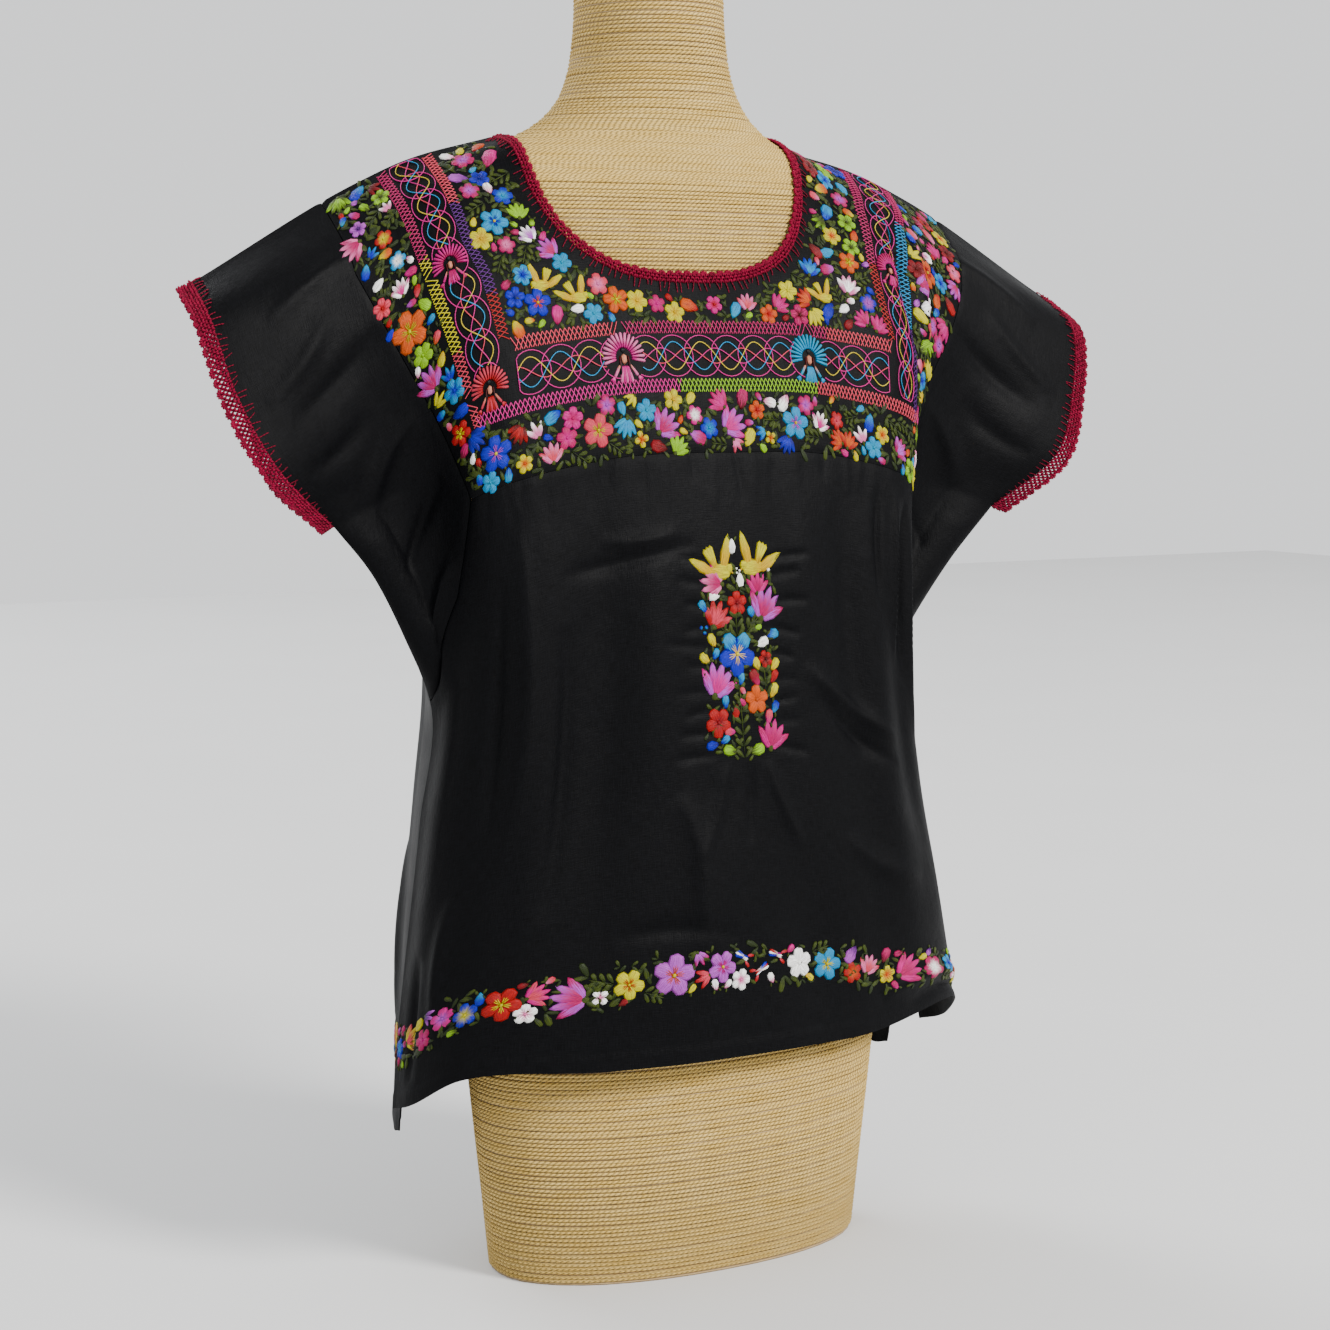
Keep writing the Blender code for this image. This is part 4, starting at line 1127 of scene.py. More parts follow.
def lay_pads(name, pads, finish):
    """A flat mesh of all the pads: x across, y towards the ridge, z off the cloth."""
    plan = bpy.data.meshes.new(name + "_plan")
    roots = [(pad.across, -pad.down, 0.0) for pad in pads]
    plan.from_pydata(roots, [], [])
    for label, kind, values in (
        ("shape", "INT", [pad.shape for pad in pads]),
        ("turn", "FLOAT", [pad.turn for pad in pads]),
        ("size", "FLOAT_VECTOR", [(pad.length, pad.width, pad.height) for pad in pads]),
        ("root", "FLOAT_VECTOR", roots),
        ("thread", "FLOAT_COLOR", [daylight(pad.tip) for pad in pads]),
        ("heart", "FLOAT_COLOR", [daylight(pad.heart) for pad in pads]),
    ):
        field = {"FLOAT_VECTOR": "vector", "FLOAT_COLOR": "color"}.get(kind, "value")
        plan.attributes.new(label, kind, "POINT").data.foreach_set(field, np.array(values).ravel())
    return STITCHES.bake(name, plan, Shapes=SHAPES, Finish=finish)


def run_threads(name, lines, radius, finish):
    """Round threads along lines, each a list of points, a colour and a second colour."""
    plan = bpy.data.meshes.new(name + "_plan")
    points, edges, tips, hearts = [], [], [], []
    for line, tip, heart in lines:
        first = len(points)
        points.extend(tuple(point) for point in line)
        edges.extend((at, at + 1) for at in range(first, len(points) - 1))
        tips.extend([daylight(tip)] * len(line))
        hearts.extend([daylight(heart)] * len(line))
    plan.from_pydata(points, edges, [])
    for label, colours in (("thread", tips), ("heart", hearts)):
        plan.attributes.new(label, "FLOAT_COLOR", "POINT").data.foreach_set("color", np.array(colours).ravel())
    made = THREAD_RUNS.bake(name, plan, Radius=radius, Sides=THREAD_SIDES, Finish=finish)
    made.shade_smooth()
    return made


def bend(mesh, carry, inside_out):
    """Moves a flat mesh to where carry puts its across, down and lift."""
    flat = np.empty(len(mesh.vertices) * 3)
    mesh.vertices.foreach_get("co", flat)
    flat = flat.reshape(-1, 3)
    mesh.vertices.foreach_set("co", carry(flat[:, 0], -flat[:, 1], flat[:, 2]).ravel())
    if inside_out:
        mesh.flip_normals()
    mesh.update()


def join(name, meshes):
    """One object of several meshes, riding on the body."""
    objects = [bpy.data.objects.new(name, mesh) for mesh in meshes]
    for made in objects:
        bpy.context.scene.collection.objects.link(made)
    if len(objects) > 1:
        with bpy.context.temp_override(active_object=objects[0], object=objects[0],
                                       selected_objects=objects, selected_editable_objects=objects):
            bpy.ops.object.join()
    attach(objects[0], "root")
    return objects[0]


# Flowers, birds and dolls


# What strews the small motifs: kinds, radius and tries for a square metre, the larger ones first
LARGE_KINDS, LARGE_TRIES = ("pansy", "tulip", "blossom", "tulip"), 44000
FILL_ROUNDS = [
    (("blossom", "fern", "tulip", "bud"), 0.0076, 52000),
    (("bud", "leaf", "tulip", "bud", "leaf"), 0.0056, 84000),
    (("bud", "leaf", "bud"), 0.0040, 160000),
    (("leaf",), 0.0030, 80000),
]


class Posy:
    """The raised stitches of one embroidered piece, laid out on the flat cut."""

    def __init__(self, seed):
        self.pads, self.taken = [], []
        self.pick = random.Random(seed)

    def pad(self, place, turn, length, width, height, tip, heart=None, shape=PETAL, back=0.0):
        """One stitch from a place, pointing along its turn, starting back from it by a part of its length."""
        across = place[0] - back * length * math.cos(turn)
        down = place[1] + back * length * math.sin(turn)
        self.pads.append(Pad(shape, across, down, length, width, height, turn, tip, heart or tip))

    def pointed(self, root, turn, length, width, height, tip, heart):
        """A pad laid the other way round, so that it is broad at its root and comes to a point."""
        point = (root[0] + math.cos(turn) * length, root[1] - math.sin(turn) * length)
        self.pad(point, turn + math.pi, length, width, height, heart, tip)

    def ringed(self, place, count, turn, length, width, height, tip, heart):
        """The same pad all the way round a place."""
        for step in range(count):
            self.pad(place, turn + math.tau * step / count, length, width, height, tip, heart)

    def leaf(self, place, turn, length):
        """One leaf, its green drawn."""
        colour = self.pick.choice(("olive", "moss", "olive"))
        self.pad(place, turn, length, length * 0.40, 0.0009, colour, "moss")

    def add(self, motif):
        """A motif from the tables."""
        place = (motif.across * MM, motif.down * MM)
        size, turn = motif.size * MM, math.radians(motif.turn)
        getattr(self, motif.kind)(place, size, turn, motif.tip, motif.heart)
        self.taken.append((*place, size * 0.5))

    def pansy(self, place, size, turn, tip, heart):
        """Five broad petals, a ray of a second thread in each, and a knot."""
        self.ringed(place, 5, turn, size * 0.54, size * 0.43, 0.0015, tip, tip)
        fine = max(size * 0.03, 0.0006)
        for lean in (-0.26, 0.0, 0.26):
            self.ringed(place, 5, turn + lean, size * (0.34 - 0.3 * abs(lean)), fine, 0.0018, heart, heart)
        self.pad(place, 0.0, size * 0.12, size * 0.12, 0.0021, "yellow", "gold", ROUND, back=0.5)

    def viola(self, place, size, turn, tip, heart):
        """A pansy whose two upper petals are turquoise."""
        for lean in (-0.63, 0.63):
            self.pad(place, math.pi / 2 + lean, size * 0.56, size * 0.42, 0.0017, "turquoise", tip)
        self.pansy(place, size, turn, tip, heart)

    def blossom(self, place, size, turn, tip, heart):
        """Four or five narrow petals round a knot."""
        count = 4 if size < 0.0125 else 5
        self.ringed(place, count, turn, size * 0.54, size * 0.46, 0.0013, tip, heart)
        self.pad(place, 0.0, size * 0.16, size * 0.16, 0.0017, heart, heart, ROUND, back=0.5)

    def tulip(self, place, size, turn, tip, heart):
        """Three or five pointed petals fanned out of a green cup."""
        root = (place[0] - 0.40 * size * math.cos(turn), place[1] + 0.40 * size * math.sin(turn))
        spread = (-0.82, 0.82, -0.40, 0.40, 0.0) if size > 0.0145 else (-0.62, 0.62, 0.0)
        for step, lean in enumerate(spread):
            colours = (tip, heart) if step < 2 or len(spread) == 3 else (heart, tip)
            length = size * (0.94 - 0.12 * abs(lean))
            self.pointed(root, turn + lean, length, size * 0.34, 0.0013 + 0.0001 * step, *colours)
        self.pad(place, turn + math.pi, size * 0.34, size * 0.22, 0.0010, "olive", "moss", back=-0.55)

    def bud(self, place, size, turn, tip, heart):
        """One or two drops on a short stalk."""
        self.pad(place, turn, size * 0.98, size * 0.64, 0.0014, tip, heart, back=0.42)
        for lean in (2.6, -2.6):
            self.pad(place, turn + lean, size * 0.45, size * 0.20, 0.0008, "olive", "moss", back=-0.5)

    def fish(self, place, size, turn, tip, heart):
        """A long striped bud: three narrow stitches side by side, with a forked tail."""
        for lean, colours in ((-0.28, (heart, tip)), (0.0, (tip, tip)), (0.28, ("blue", heart))):
            self.pad(place, turn + lean, size * 0.75, size * 0.20, 0.0012, *colours, back=0.45)
        for lean in (-0.5, 0.5):
            self.pad(place, turn + math.pi + lean, size * 0.34, size * 0.16, 0.0010, "red", "coral", back=-0.7)

    def bird(self, place, size, turn, tip, heart):
        """A small bird with raised wings; turn is where it looks."""
        ahead = 1 if math.cos(turn) > 0 else -1
        across, down = place

        def towards(degrees):
            """A turn above the way that the bird looks."""
            return math.radians(degrees) if ahead > 0 else math.pi - math.radians(degrees)

        def off(forward, below):
            return across + ahead * size * forward, down + size * below

        self.pad(off(-0.26, 0.34), towards(-3), size * 0.76, size * 0.44, 0.0016, tip, heart)
        self.pad(off(0.42, 0.29), 0.0, size * 0.25, size * 0.24, 0.0018, tip, tip, ROUND, back=0.5)
        self.pad(off(0.44, 0.35), towards(-35), size * 0.12, size * 0.06, 0.0011, heart, heart, BAR)
        for root, degrees, long in ((off(0.24, 0.34), 76, 0.90), (off(-0.02, 0.44), 150, 0.84)):
            self.pointed(root, towards(degrees), size * long, size * 0.30, 0.0015, tip, heart)
        for degrees in (106, 116, 126):
            self.pad(off(0.05, 0.32), towards(degrees), size * 0.62, size * 0.15, 0.0014, tip, heart, BAR)

    def berries(self, place, size, turn, tip, heart):
        """Three small round knots."""
        for step in range(3):
            way = turn + math.tau * step / 3
            at = (place[0] + math.cos(way) * size * 0.45, place[1] - math.sin(way) * size * 0.45)
            self.pad(at, way, size * 0.5, size * 0.5, 0.0012, tip, heart, ROUND, back=0.5)

    def frond(self, place, size, turn, tip, heart):
        """One long leaf."""
        self.pad(place, turn, size, size * 0.38, 0.0010, tip, heart, back=0.5)

    def fern(self, place, size, turn, tip, heart):
        """A stalk with paired narrow leaves that lean outwards and up."""
        across, down = place
        self.pad(place, turn, size, 0.0010, 0.0008, tip, heart, BAR)
        pairs = max(3, round(size / 0.0088))
        long = min(size * 0.54, 0.0110)
        for step in range(pairs):
            at = (across + math.cos(turn) * size * step / pairs, down - math.sin(turn) * size * step / pairs)
            for lean in (-0.8, 0.8):
                self.pad(at, turn + lean, long * (1 - 0.35 * step / pairs), long * 0.38, 0.0011, tip, heart)

    def doll(self, place, size, turn, tip, heart):
        """A doll with a fan headdress: ridged rays round a small plain head, two braids, arms and a skirt."""
        across, down = place

        def at(aside, below):
            return across + size * aside, down + size * below

        rays = 17
        for ray in range(rays):
            lean = math.radians(-12 + 204 * ray / (rays - 1))
            self.pad(at(0, 0.02), lean, size * 0.34, size * 0.068, 0.0018, heart, tip, BAR, back=-0.48)
        self.pad(at(0, 0.06), -math.pi / 2, size * 0.22, size * 0.13, 0.0017, "skin", "skin", ROUND, back=0.5)
        self.pad(at(0, -0.11), math.pi / 2, size * 0.12, size * 0.12, 0.0012, "black", "black", back=0.5)
        for side in (-1, 1):
            for root, lean, length, width, height, colours in (
                (at(side * 0.09, -0.02), 0.06, 0.42, 0.045, 0.0016, ("black", "wine")),
                (at(side * 0.10, 0.16), 0.62, 0.30, 0.07, 0.0013, (heart, "skin")),
            ):
                self.pad(root, -math.pi / 2 + side * lean, size * length, size * width, height, *colours, BAR)
            for lean in (-0.35, 0.1, 0.55):
                self.pad(at(side * 0.28, 0.40), -math.pi / 2 + side * (0.5 + lean), size * 0.11, size * 0.05,
                         0.0011, tip, heart, BAR)
        for step in range(-2, 3):
            self.pad(at(step * 0.025, 0.18), -math.pi / 2 + step * 0.12, size * 0.36, size * 0.075, 0.0015,
                     tip if step % 2 else heart, tip, BAR)

    def sprig(self, region, low, high, radius, kind):
        """One small motif at a drawn place of a region, where that place is free."""
        across, down = self.pick.uniform(low[0], high[0]), self.pick.uniform(low[1], high[1])
        if not region(across, down, radius * 0.75):
            return
        for other_across, other_down, other in self.taken:
            if math.hypot(across - other_across, down - other_down) < (radius + other) * 0.90:
                return
        turn = self.pick.uniform(0, math.tau)
        tip, heart = self.pick.choice(PAIRS)
        if kind == "fern":
            place = (across - math.cos(turn) * radius, down + math.sin(turn) * radius)
            self.fern(place, radius * 2.1, turn, "olive", "moss")
        elif kind == "leaf":
            self.leaf((across, down), turn, radius * 2.3)
            self.leaf((across, down), turn + self.pick.uniform(0.9, 1.5), radius * 1.8)
        else:
            getattr(self, kind)((across, down), radius * 2.2, turn, tip, heart)
        self.taken.append((across, down, radius))

    def fill(self, region, low, high, density=1.0, largest=None):
        """Small flowers, buds and leaves wherever the region is still bare, after large flowers if so asked."""
        area = (high[0] - low[0]) * (high[1] - low[1])
        rounds = [(LARGE_KINDS, largest, LARGE_TRIES)] if largest else []
        for kinds, radius, tries in rounds + FILL_ROUNDS:
            for attempt in range(int(tries * area * density)):
                self.sprig(region, low, high, radius * self.pick.uniform(0.9, 1.1), kinds[attempt % len(kinds)])
        for across, down, radius in list(self.taken):
            if radius < 0.0045:
                continue
            for step in range(3):
                turn = self.pick.uniform(0, math.tau)
                place = (across + math.cos(turn) * radius * 0.95, down - math.sin(turn) * radius * 0.95)
                tip_at = (across + math.cos(turn) * (radius + 0.004), down - math.sin(turn) * (radius + 0.004))
                if region(*tip_at, 0.0005):
                    self.leaf(place, turn + self.pick.uniform(-0.5, 0.5), self.pick.uniform(0.0068, 0.0098))

    def sewn(self, name, cloth, finish):
        """The posy as one object on the cloth."""
        mesh = lay_pads(name, self.pads, finish)
        bend(mesh, cloth.surface, cloth.outward > 0)
        return join(name, [mesh])


def neck_share(across, down, depth):
    """1 on the neck hole's cut edge, less inside it and more outside."""
    return ((abs(across - NECK_ASIDE) / NECK_HALF) ** NECK_ROUND + (down / depth) ** NECK_ROUND) ** (1 / NECK_ROUND)


def reading(table, at):
    """A table of (place, value) read at a place, straight from row to row."""
    places, values = zip(*table)
    return np.interp(at, places, values)


class Openwork:
    """The U of couched threads on one yoke: two side runs and the run below the neck."""

    def __init__(self, right, left):
        self.edges = {-1: right, 1: left}

    def side(self, wearer_side, along, athwart):
        """(across, down) beside the neck; athwart is 0 at the inner edge and 1 at the outer one."""
        inner, outer = (reading(table, along) for table in self.edges[wearer_side])
        return wearer_side * (inner + (outer - inner) * athwart), along

    def below(self, along, athwart):
        """(across, down) below the neck; athwart is 0 at the upper edge and 1 at the lower one."""
        return along, OPEN_TOP + (OPEN_FOOT - OPEN_TOP) * athwart

    def covers(self, across, down, margin):
        """Whether a place lies on the U, or nearer to it than the margin."""
        wearer_side = 1 if across > 0 else -1
        inner, outer = (reading(table, down) for table in self.edges[wearer_side])
        beside = inner - margin < abs(across) < outer + margin and down < OPEN_FOOT + margin
        return beside or (OPEN_TOP - margin < down < OPEN_FOOT + margin and abs(across) < outer + margin)

    def threads(self, colours):
        """Lines of (across, towards the ridge, lift), each with its colour."""
        lines = []

        def line(track, alongs, athwarts, lift, tip):
            across, down = track(np.asarray(alongs, float), np.asarray(athwarts, float))
            lift = np.broadcast_to(lift, np.shape(across))
            lines.append((np.stack([across, -down, lift], axis=1), tip))

        def border(track, start, end, low, high, threads):
            """Crossing slanted stitches between two rails, their colour changing along the way."""
            count = int((end - start) / HERRINGBONE)
            for step in range(count):
                here = start + (end - start) * step / count
                tip = next(thread for until, thread in threads if here - start <= until)
                for begin, finish, late in ((low, high, 0.0), (high, low, 0.66)):
                    foot = here + HERRINGBONE * late
                    ahead = foot + HERRINGBONE * 1.34
                    line(track, (foot, (foot + ahead) / 2, ahead), (begin, (begin + finish) / 2, finish),
                         (0.0002, 0.0007, 0.0002), tip)

        def waves(track, start, end, low, high):
            """Couched threads that weave over and under each other, with a ring round each eye."""
            alongs = np.arange(start, end, WAVE_STEP)
            reach, middle = (high - low) / 2, (high + low) / 2
            for phase, size, tip in WAVES:
                angle = math.tau * (alongs / WAVE + phase)
                lift = 0.0004 + 0.0002 * (1 + np.cos(2 * angle))
                line(track, alongs, middle + reach * size * np.sin(angle), lift, tip)
            first = math.ceil((start + EYE_FREE) / (WAVE / 2) - 0.5)
            turns = np.linspace(0, math.tau, RING_POINTS)
            for eye in WAVE / 2 * (np.arange(first, (end - EYE_FREE) / (WAVE / 2) - 0.5) + 0.5):
                for half, size, tip in RINGS:
                    around = np.clip(eye + half * np.cos(turns), start, end)
                    line(track, around, middle + reach * size * np.sin(turns), 0.0005, tip)

        share = BORDER / (OPEN_FOOT - OPEN_TOP)
        for wearer_side in (-1, 1):
            def track(alongs, athwarts, wearer_side=wearer_side):
                return self.side(wearer_side, alongs, athwarts)
            outer_threads, inner_threads = colours[wearer_side]
            border(track, OPEN_STARTS, OPEN_FOOT - 0.004, 1 - share, 1 - RAIL_FREE, outer_threads)
            border(track, OPEN_STARTS, OPEN_TOP - 0.002, RAIL_FREE, share, inner_threads)
            waves(track, OPEN_STARTS, OPEN_FOOT - BORDER - 0.003, share + WAVES_FREE, 1 - share - WAVES_FREE)
        inner_right, inner_left = (reading(self.edges[side][0], OPEN_TOP) for side in (-1, 1))
        outer_right, outer_left = (reading(self.edges[side][1], OPEN_FOOT) for side in (-1, 1))
        border(self.below, -inner_right, inner_left, RAIL_FREE, share, colours[0][0])
        border(self.below, -outer_right + 0.002, outer_left - 0.002, 1 - share, 1 - RAIL_FREE, colours[0][1])
        waves(self.below, -inner_right + 0.002, inner_left - 0.002, share + WAVES_FREE, 1 - share - WAVES_FREE)
        return lines

    def sewn(self, name, cloth, colours, dolls, finish, satin):
        """The threads and the dolls among them, as one object on the cloth."""
        gaps = [(doll.across * MM, -doll.down * MM, doll.size * MM * 0.44) for doll in dolls]
        lines = []
        for line, tip in self.threads(colours):
            free = np.all([np.hypot(line[:, 0] - x, line[:, 1] - y) > r for x, y, r in gaps], axis=0)
            if len(line) <= 3:
                if free.all():
                    lines.append((line, tip, tip))
                continue
            cuts = np.flatnonzero(np.diff(free.astype(int))) + 1
            for part, kept in zip(np.split(line, cuts), np.split(free, cuts)):
                if kept[0] and len(part) > 1:
                    lines.append((part, tip, tip))
        threads = run_threads(name, lines, THREAD_RADIUS, finish)
        figures = Posy(SEED)
        for doll in dolls:
            figures.add(doll)
        pads = lay_pads(name + "_dolls", figures.pads, satin)
        for mesh in (threads, pads):
            bend(mesh, cloth.surface, cloth.outward > 0)
        return join(name, [threads, pads])


# Cloth pieces


def shell(name, cloth_points, inner_points, cut, finish, ring=False):
    """A closed shell between two grids of points, with the flat cut as its UV map."""
    rows, columns = cloth_points.shape[:2]
    inside = rows * columns
    index = np.arange(inside).reshape(rows, columns)
    if ring:
        index = np.concatenate([index, index[:1]])
    first, second, third, fourth = index[:-1, :-1], index[1:, :-1], index[1:, 1:], index[:-1, 1:]
    quads = np.stack([first, second, third, fourth], axis=-1).reshape(-1, 4)
    edges = [index[:, 0], index[::-1, -1]] + ([] if ring else [index[0, ::-1], index[-1]])
    rims = [np.stack([edge[:-1], edge[:-1] + inside, edge[1:] + inside, edge[1:]], axis=1) for edge in edges]
    faces = np.concatenate([quads, quads[:, ::-1] + inside, *rims])
    mesh = bpy.data.meshes.new(name)
    vertices = np.concatenate([cloth_points.reshape(-1, 3), inner_points.reshape(-1, 3)])
    mesh.vertices.add(len(vertices))
    mesh.vertices.foreach_set("co", vertices.ravel())
    mesh.loops.add(faces.size)
    mesh.polygons.add(len(faces))
    mesh.polygons.foreach_set("loop_start", np.arange(len(faces)) * 4)
    mesh.loops.foreach_set("vertex_index", faces.ravel())
    mesh.update(calc_edges=True)
    mesh.validate()
    layer = mesh.uv_layers.new(name="cut")
    flat = np.concatenate([cut.reshape(-1, 2)] * 2)
    layer.data.foreach_set("uv", flat[faces.ravel()].ravel())
    outward(mesh)
    mesh.shade_smooth()
    mesh.set_sharp_from_angle(angle=math.radians(60))
    mesh.materials.append(finish)
    made = bpy.data.objects.new(name, mesh)
    bpy.context.scene.collection.objects.link(made)
    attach(made, "root")
    return made


def neck_edge(turn, depth):
    """(across, down) on the neck hole's cut edge, a turn of 0 on the wearer's right and half a turn on the left."""
    cosine, sine = -np.cos(turn), np.sin(turn)
    across = NECK_ASIDE + NECK_HALF * np.sign(cosine) * np.abs(cosine) ** (2 / NECK_ROUND)
    return across, depth * np.abs(sine) ** (2 / NECK_ROUND)


def yoke_grid(neck_depth):
    """Flat places of a yoke, round the neck hole and out to the seams."""
    side = np.linspace(SEAM_GAP / 2, YOKE_DOWN - SEAM_GAP / 2, YOKE_SIDE_POINTS)
    foot = np.linspace(-1, 1, YOKE_FOOT_POINTS) * (half_armhole(YOKE_DOWN) - SEAM_GAP)
    side_across = half_armhole(side) - SEAM_GAP
    out = np.concatenate([
        np.stack([-side_across, side], 1)[:-1],
        np.stack([foot, np.full(len(foot), YOKE_DOWN - SEAM_GAP / 2)], 1),
        np.stack([side_across, side], 1)[-2::-1],
    ])
    across, down = neck_edge(np.arctan2(out[:, 1] - SEAM_GAP / 2, -out[:, 0]), neck_depth)
    hole = np.stack([across, np.maximum(down, SEAM_GAP / 2)], 1)
    share = np.linspace(0, 1, YOKE_RINGS)[None, :, None]
    return hole[:, None] * (1 - share) + out[:, None] * share


def body_grid(length, columns, rows):
    """Flat places of a body panel, from the yoke seam to the hem."""
    down = np.repeat(np.linspace(YOKE_DOWN + SEAM_GAP / 2, length, rows)[:, None], columns, axis=1)
    reach = np.where(down < ARMPIT_DOWN, half_armhole(down), half_cut(down)) - SEAM_GAP
    return np.stack([np.linspace(-1, 1, columns)[None, :] * reach, down], -1)


def make_panel(name, node, cloth, cut, finish):
    across, down = cut[..., 0], cut[..., 1]
    made = shell(name, cloth.surface(across, down, 0.0), cloth.surface(across, down, -CLOTH), cut, finish)
    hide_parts(node)
    return made


def make_sleeve(name, node, front, back, side, finish):
    """A wide sleeve in one piece, from the ridge down the front, under the arm and up the back."""
    columns, rows = SLEEVE_GRID
    lows, out_share = np.linspace(0, 1, rows), np.linspace(ARMHOLE_LEFT, 1, columns)
    outer, inner, cut = [], [], []
    for cloth, loop in ((front, lows), (back, lows[-2:0:-1])):
        for low in loop:
            down = low * (ARMPIT_DOWN * (1 - out_share) + CUFF_DEPTH * out_share)
            across = side * (half_armhole(low * ARMPIT_DOWN) * (1 - out_share) + CUFF * out_share)
            outer.append(cloth.surface(across, down, 0.0))
            inner.append(cloth.surface(across, down, -CLOTH))
            cut.append(np.stack([across, down], 1))
    cut = np.array(cut)
    made = shell(name, np.array(outer), np.array(inner), cut, finish, ring=True)
    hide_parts(node)
    return made, cut


# Crochet


class Rim:
    """A loop of cut edge that crochet is worked on: along it, out from it, and off the cloth."""

    def __init__(self, edge, beyond, offset):
        edge, beyond, offset = (np.concatenate([values, values[:1]]) for values in (edge, beyond, offset))
        self.beyond = beyond / np.linalg.norm(beyond, axis=1, keepdims=True)
        self.edge, self.offset = edge, offset
        self.travelled = np.concatenate([[0], np.cumsum(np.linalg.norm(np.diff(edge, axis=0), axis=1))])
        self.length = self.travelled[-1]

    def spaced(self, pitch):
        """How often a stitch of about this pitch fits round the rim, and its exact pitch."""
        count = round(self.length / pitch)
        return count, self.length / count

    def carry(self, along, within, lift):
        """Where flat crochet goes."""
        along = np.mod(along, self.length)

        def at(values):
            return np.stack([np.interp(along, self.travelled, values[:, axis]) for axis in range(3)], axis=1)

        return at(self.edge) - at(self.beyond) * within[:, None] + at(self.offset) * lift[:, None]


def neck_rim(front, back):
    """The neck hole's edge, down the front and up the back; its way out is into the hole."""
    edge, inward, offset = [], [], []
    turn = np.linspace(NECK_RIM_ENDS, math.pi - NECK_RIM_ENDS, NECK_RIM_POINTS)
    for cloth, depth, around in ((front, NECK_FRONT, turn), (back, NECK_BACK, turn[::-1])):
        across, down = neck_edge(around, depth)
        rim = cloth.surface(across, down, 0.0)
        shrink = 1 - RIM_PROBE / np.hypot(across - NECK_ASIDE, down)
        edge.append(rim)
        inward.append(cloth.surface(NECK_ASIDE + (across - NECK_ASIDE) * shrink, down * shrink, 0.0) - rim)
        offset.append(cloth.surface(across, down, 1.0) - rim)
    return Rim(*(np.concatenate(parts) for parts in (edge, inward, offset)))


def cuff_rim(front, back, side):
    """A sleeve's end, its way out blended towards the underarm so that both cloths agree there."""
    edge, outward_way, offset = [], [], []
    lows = np.linspace(0, 1, CUFF_RIM_POINTS)
    for cloth, loop in ((front, lows), (back, lows[-2:0:-1])):
        for low in loop:
            down = low * CUFF_DEPTH
            onward = [own.surface(side * (CUFF + RIM_PROBE), down, 0.0) - own.surface(side * CUFF, down, 0.0)
                      for own in (front, back)]
            own_way = onward[0] if cloth is front else onward[1]
            rim = cloth.surface(side * CUFF, down, 0.0)
            edge.append(rim)
            outward_way.append(own_way + (sum(onward) / 2 - own_way) * low ** 2)
            offset.append(cloth.surface(side * CUFF, down, 1.0) - rim)
    return Rim(*(np.array(parts) for parts in (edge, outward_way, offset)))


def make_crochet(name, node, rim, rows, turned, finish, satin):
    """Rows of close stitches, a scalloped last row, and the spikes that fasten it to the cloth."""
    pick = random.Random(name)
    knots, lines = Posy(SEED), []
    count, pitch = rim.spaced(KNOT_PITCH)
    for number, beyond in enumerate(rows):
        for step in range(count):
            along = (step + 0.5 * (number % 2)) * pitch
            for lean in (-0.55, 0.55):
                place = (along + math.copysign(0.0009, lean), -(beyond + pick.uniform(-0.0003, 0.0003)))
                knots.pad(place, math.pi / 2 + lean, KNOT_LONG, KNOT_WIDE, KNOT_THICK * pick.uniform(0.75, 1.1),
                          "yarn", "yarn shade", back=0.5)
    count, pitch = rim.spaced(SHELL_PITCH)
    for step in range(count):
        along, reach = step * pitch, SHELL * pick.uniform(0.85, 1.1)
        for lean in (-1.15, -0.6, 0.0, 0.6, 1.15):
            knots.pad((along, -rows[-1]), math.pi / 2 + lean, reach, KNOT_WIDE, KNOT_THICK * 0.8,
                      "yarn", "yarn shade")
    count, pitch = rim.spaced(SPIKE_PITCH)
    for step in range(count):
        along, deep = (step + pick.uniform(-0.25, 0.25)) * pitch, SPIKE * pick.uniform(0.5, 1.15)
        lean = pick.uniform(-0.0022, 0.0022)
        lines.append((np.array([(along, 0.0010, 0.0007), (along + lean / 2, -deep / 2, 0.0008),
                                (along + lean, -deep, 0.0002)]), "yarn", "yarn shade"))
    laid = lay_pads(name, knots.pads, satin)
    runs = run_threads(name + "_runs", lines, SPIKE_RADIUS, finish)
    bend(laid, lambda along, within, lift: rim.carry(along, within, lift - KNOT_SINK), turned)
    bend(runs, rim.carry, turned)
    made = join(name, [laid, runs])
    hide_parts(node)
    return made


# Cord round the form


def form_outline():
    """(height, half width, front, back, squareness) at even steps up the form's side and over its neck cap."""
    table = np.array(FORM)
    heights = np.linspace(CORD_RADIUS, NECK_CAP_Z - CORD_RADIUS, 900)
    shape = through(table[:, 0], table[:, 1:], heights)
    inset = np.linspace(1, 0.02, 60)[1:]
    cap = np.column_stack([np.full(len(inset), NECK_CAP_Z), np.outer(inset, [1, 0, 0, 0]) * shape[-1, 0]])
    middle = (shape[-1, 1] + shape[-1, 2]) / 2
    cap[:, 2] = middle + (shape[-1, 1] - middle) * inset
    cap[:, 3] = middle + (shape[-1, 2] - middle) * inset
    cap[:, 4] = 2.0
    outline = np.concatenate([np.column_stack([heights, shape]), cap])
    travelled = np.concatenate([[0], np.cumsum(np.hypot(np.diff(outline[:, 0]), np.diff(outline[:, 1])))])
    return travelled, outline


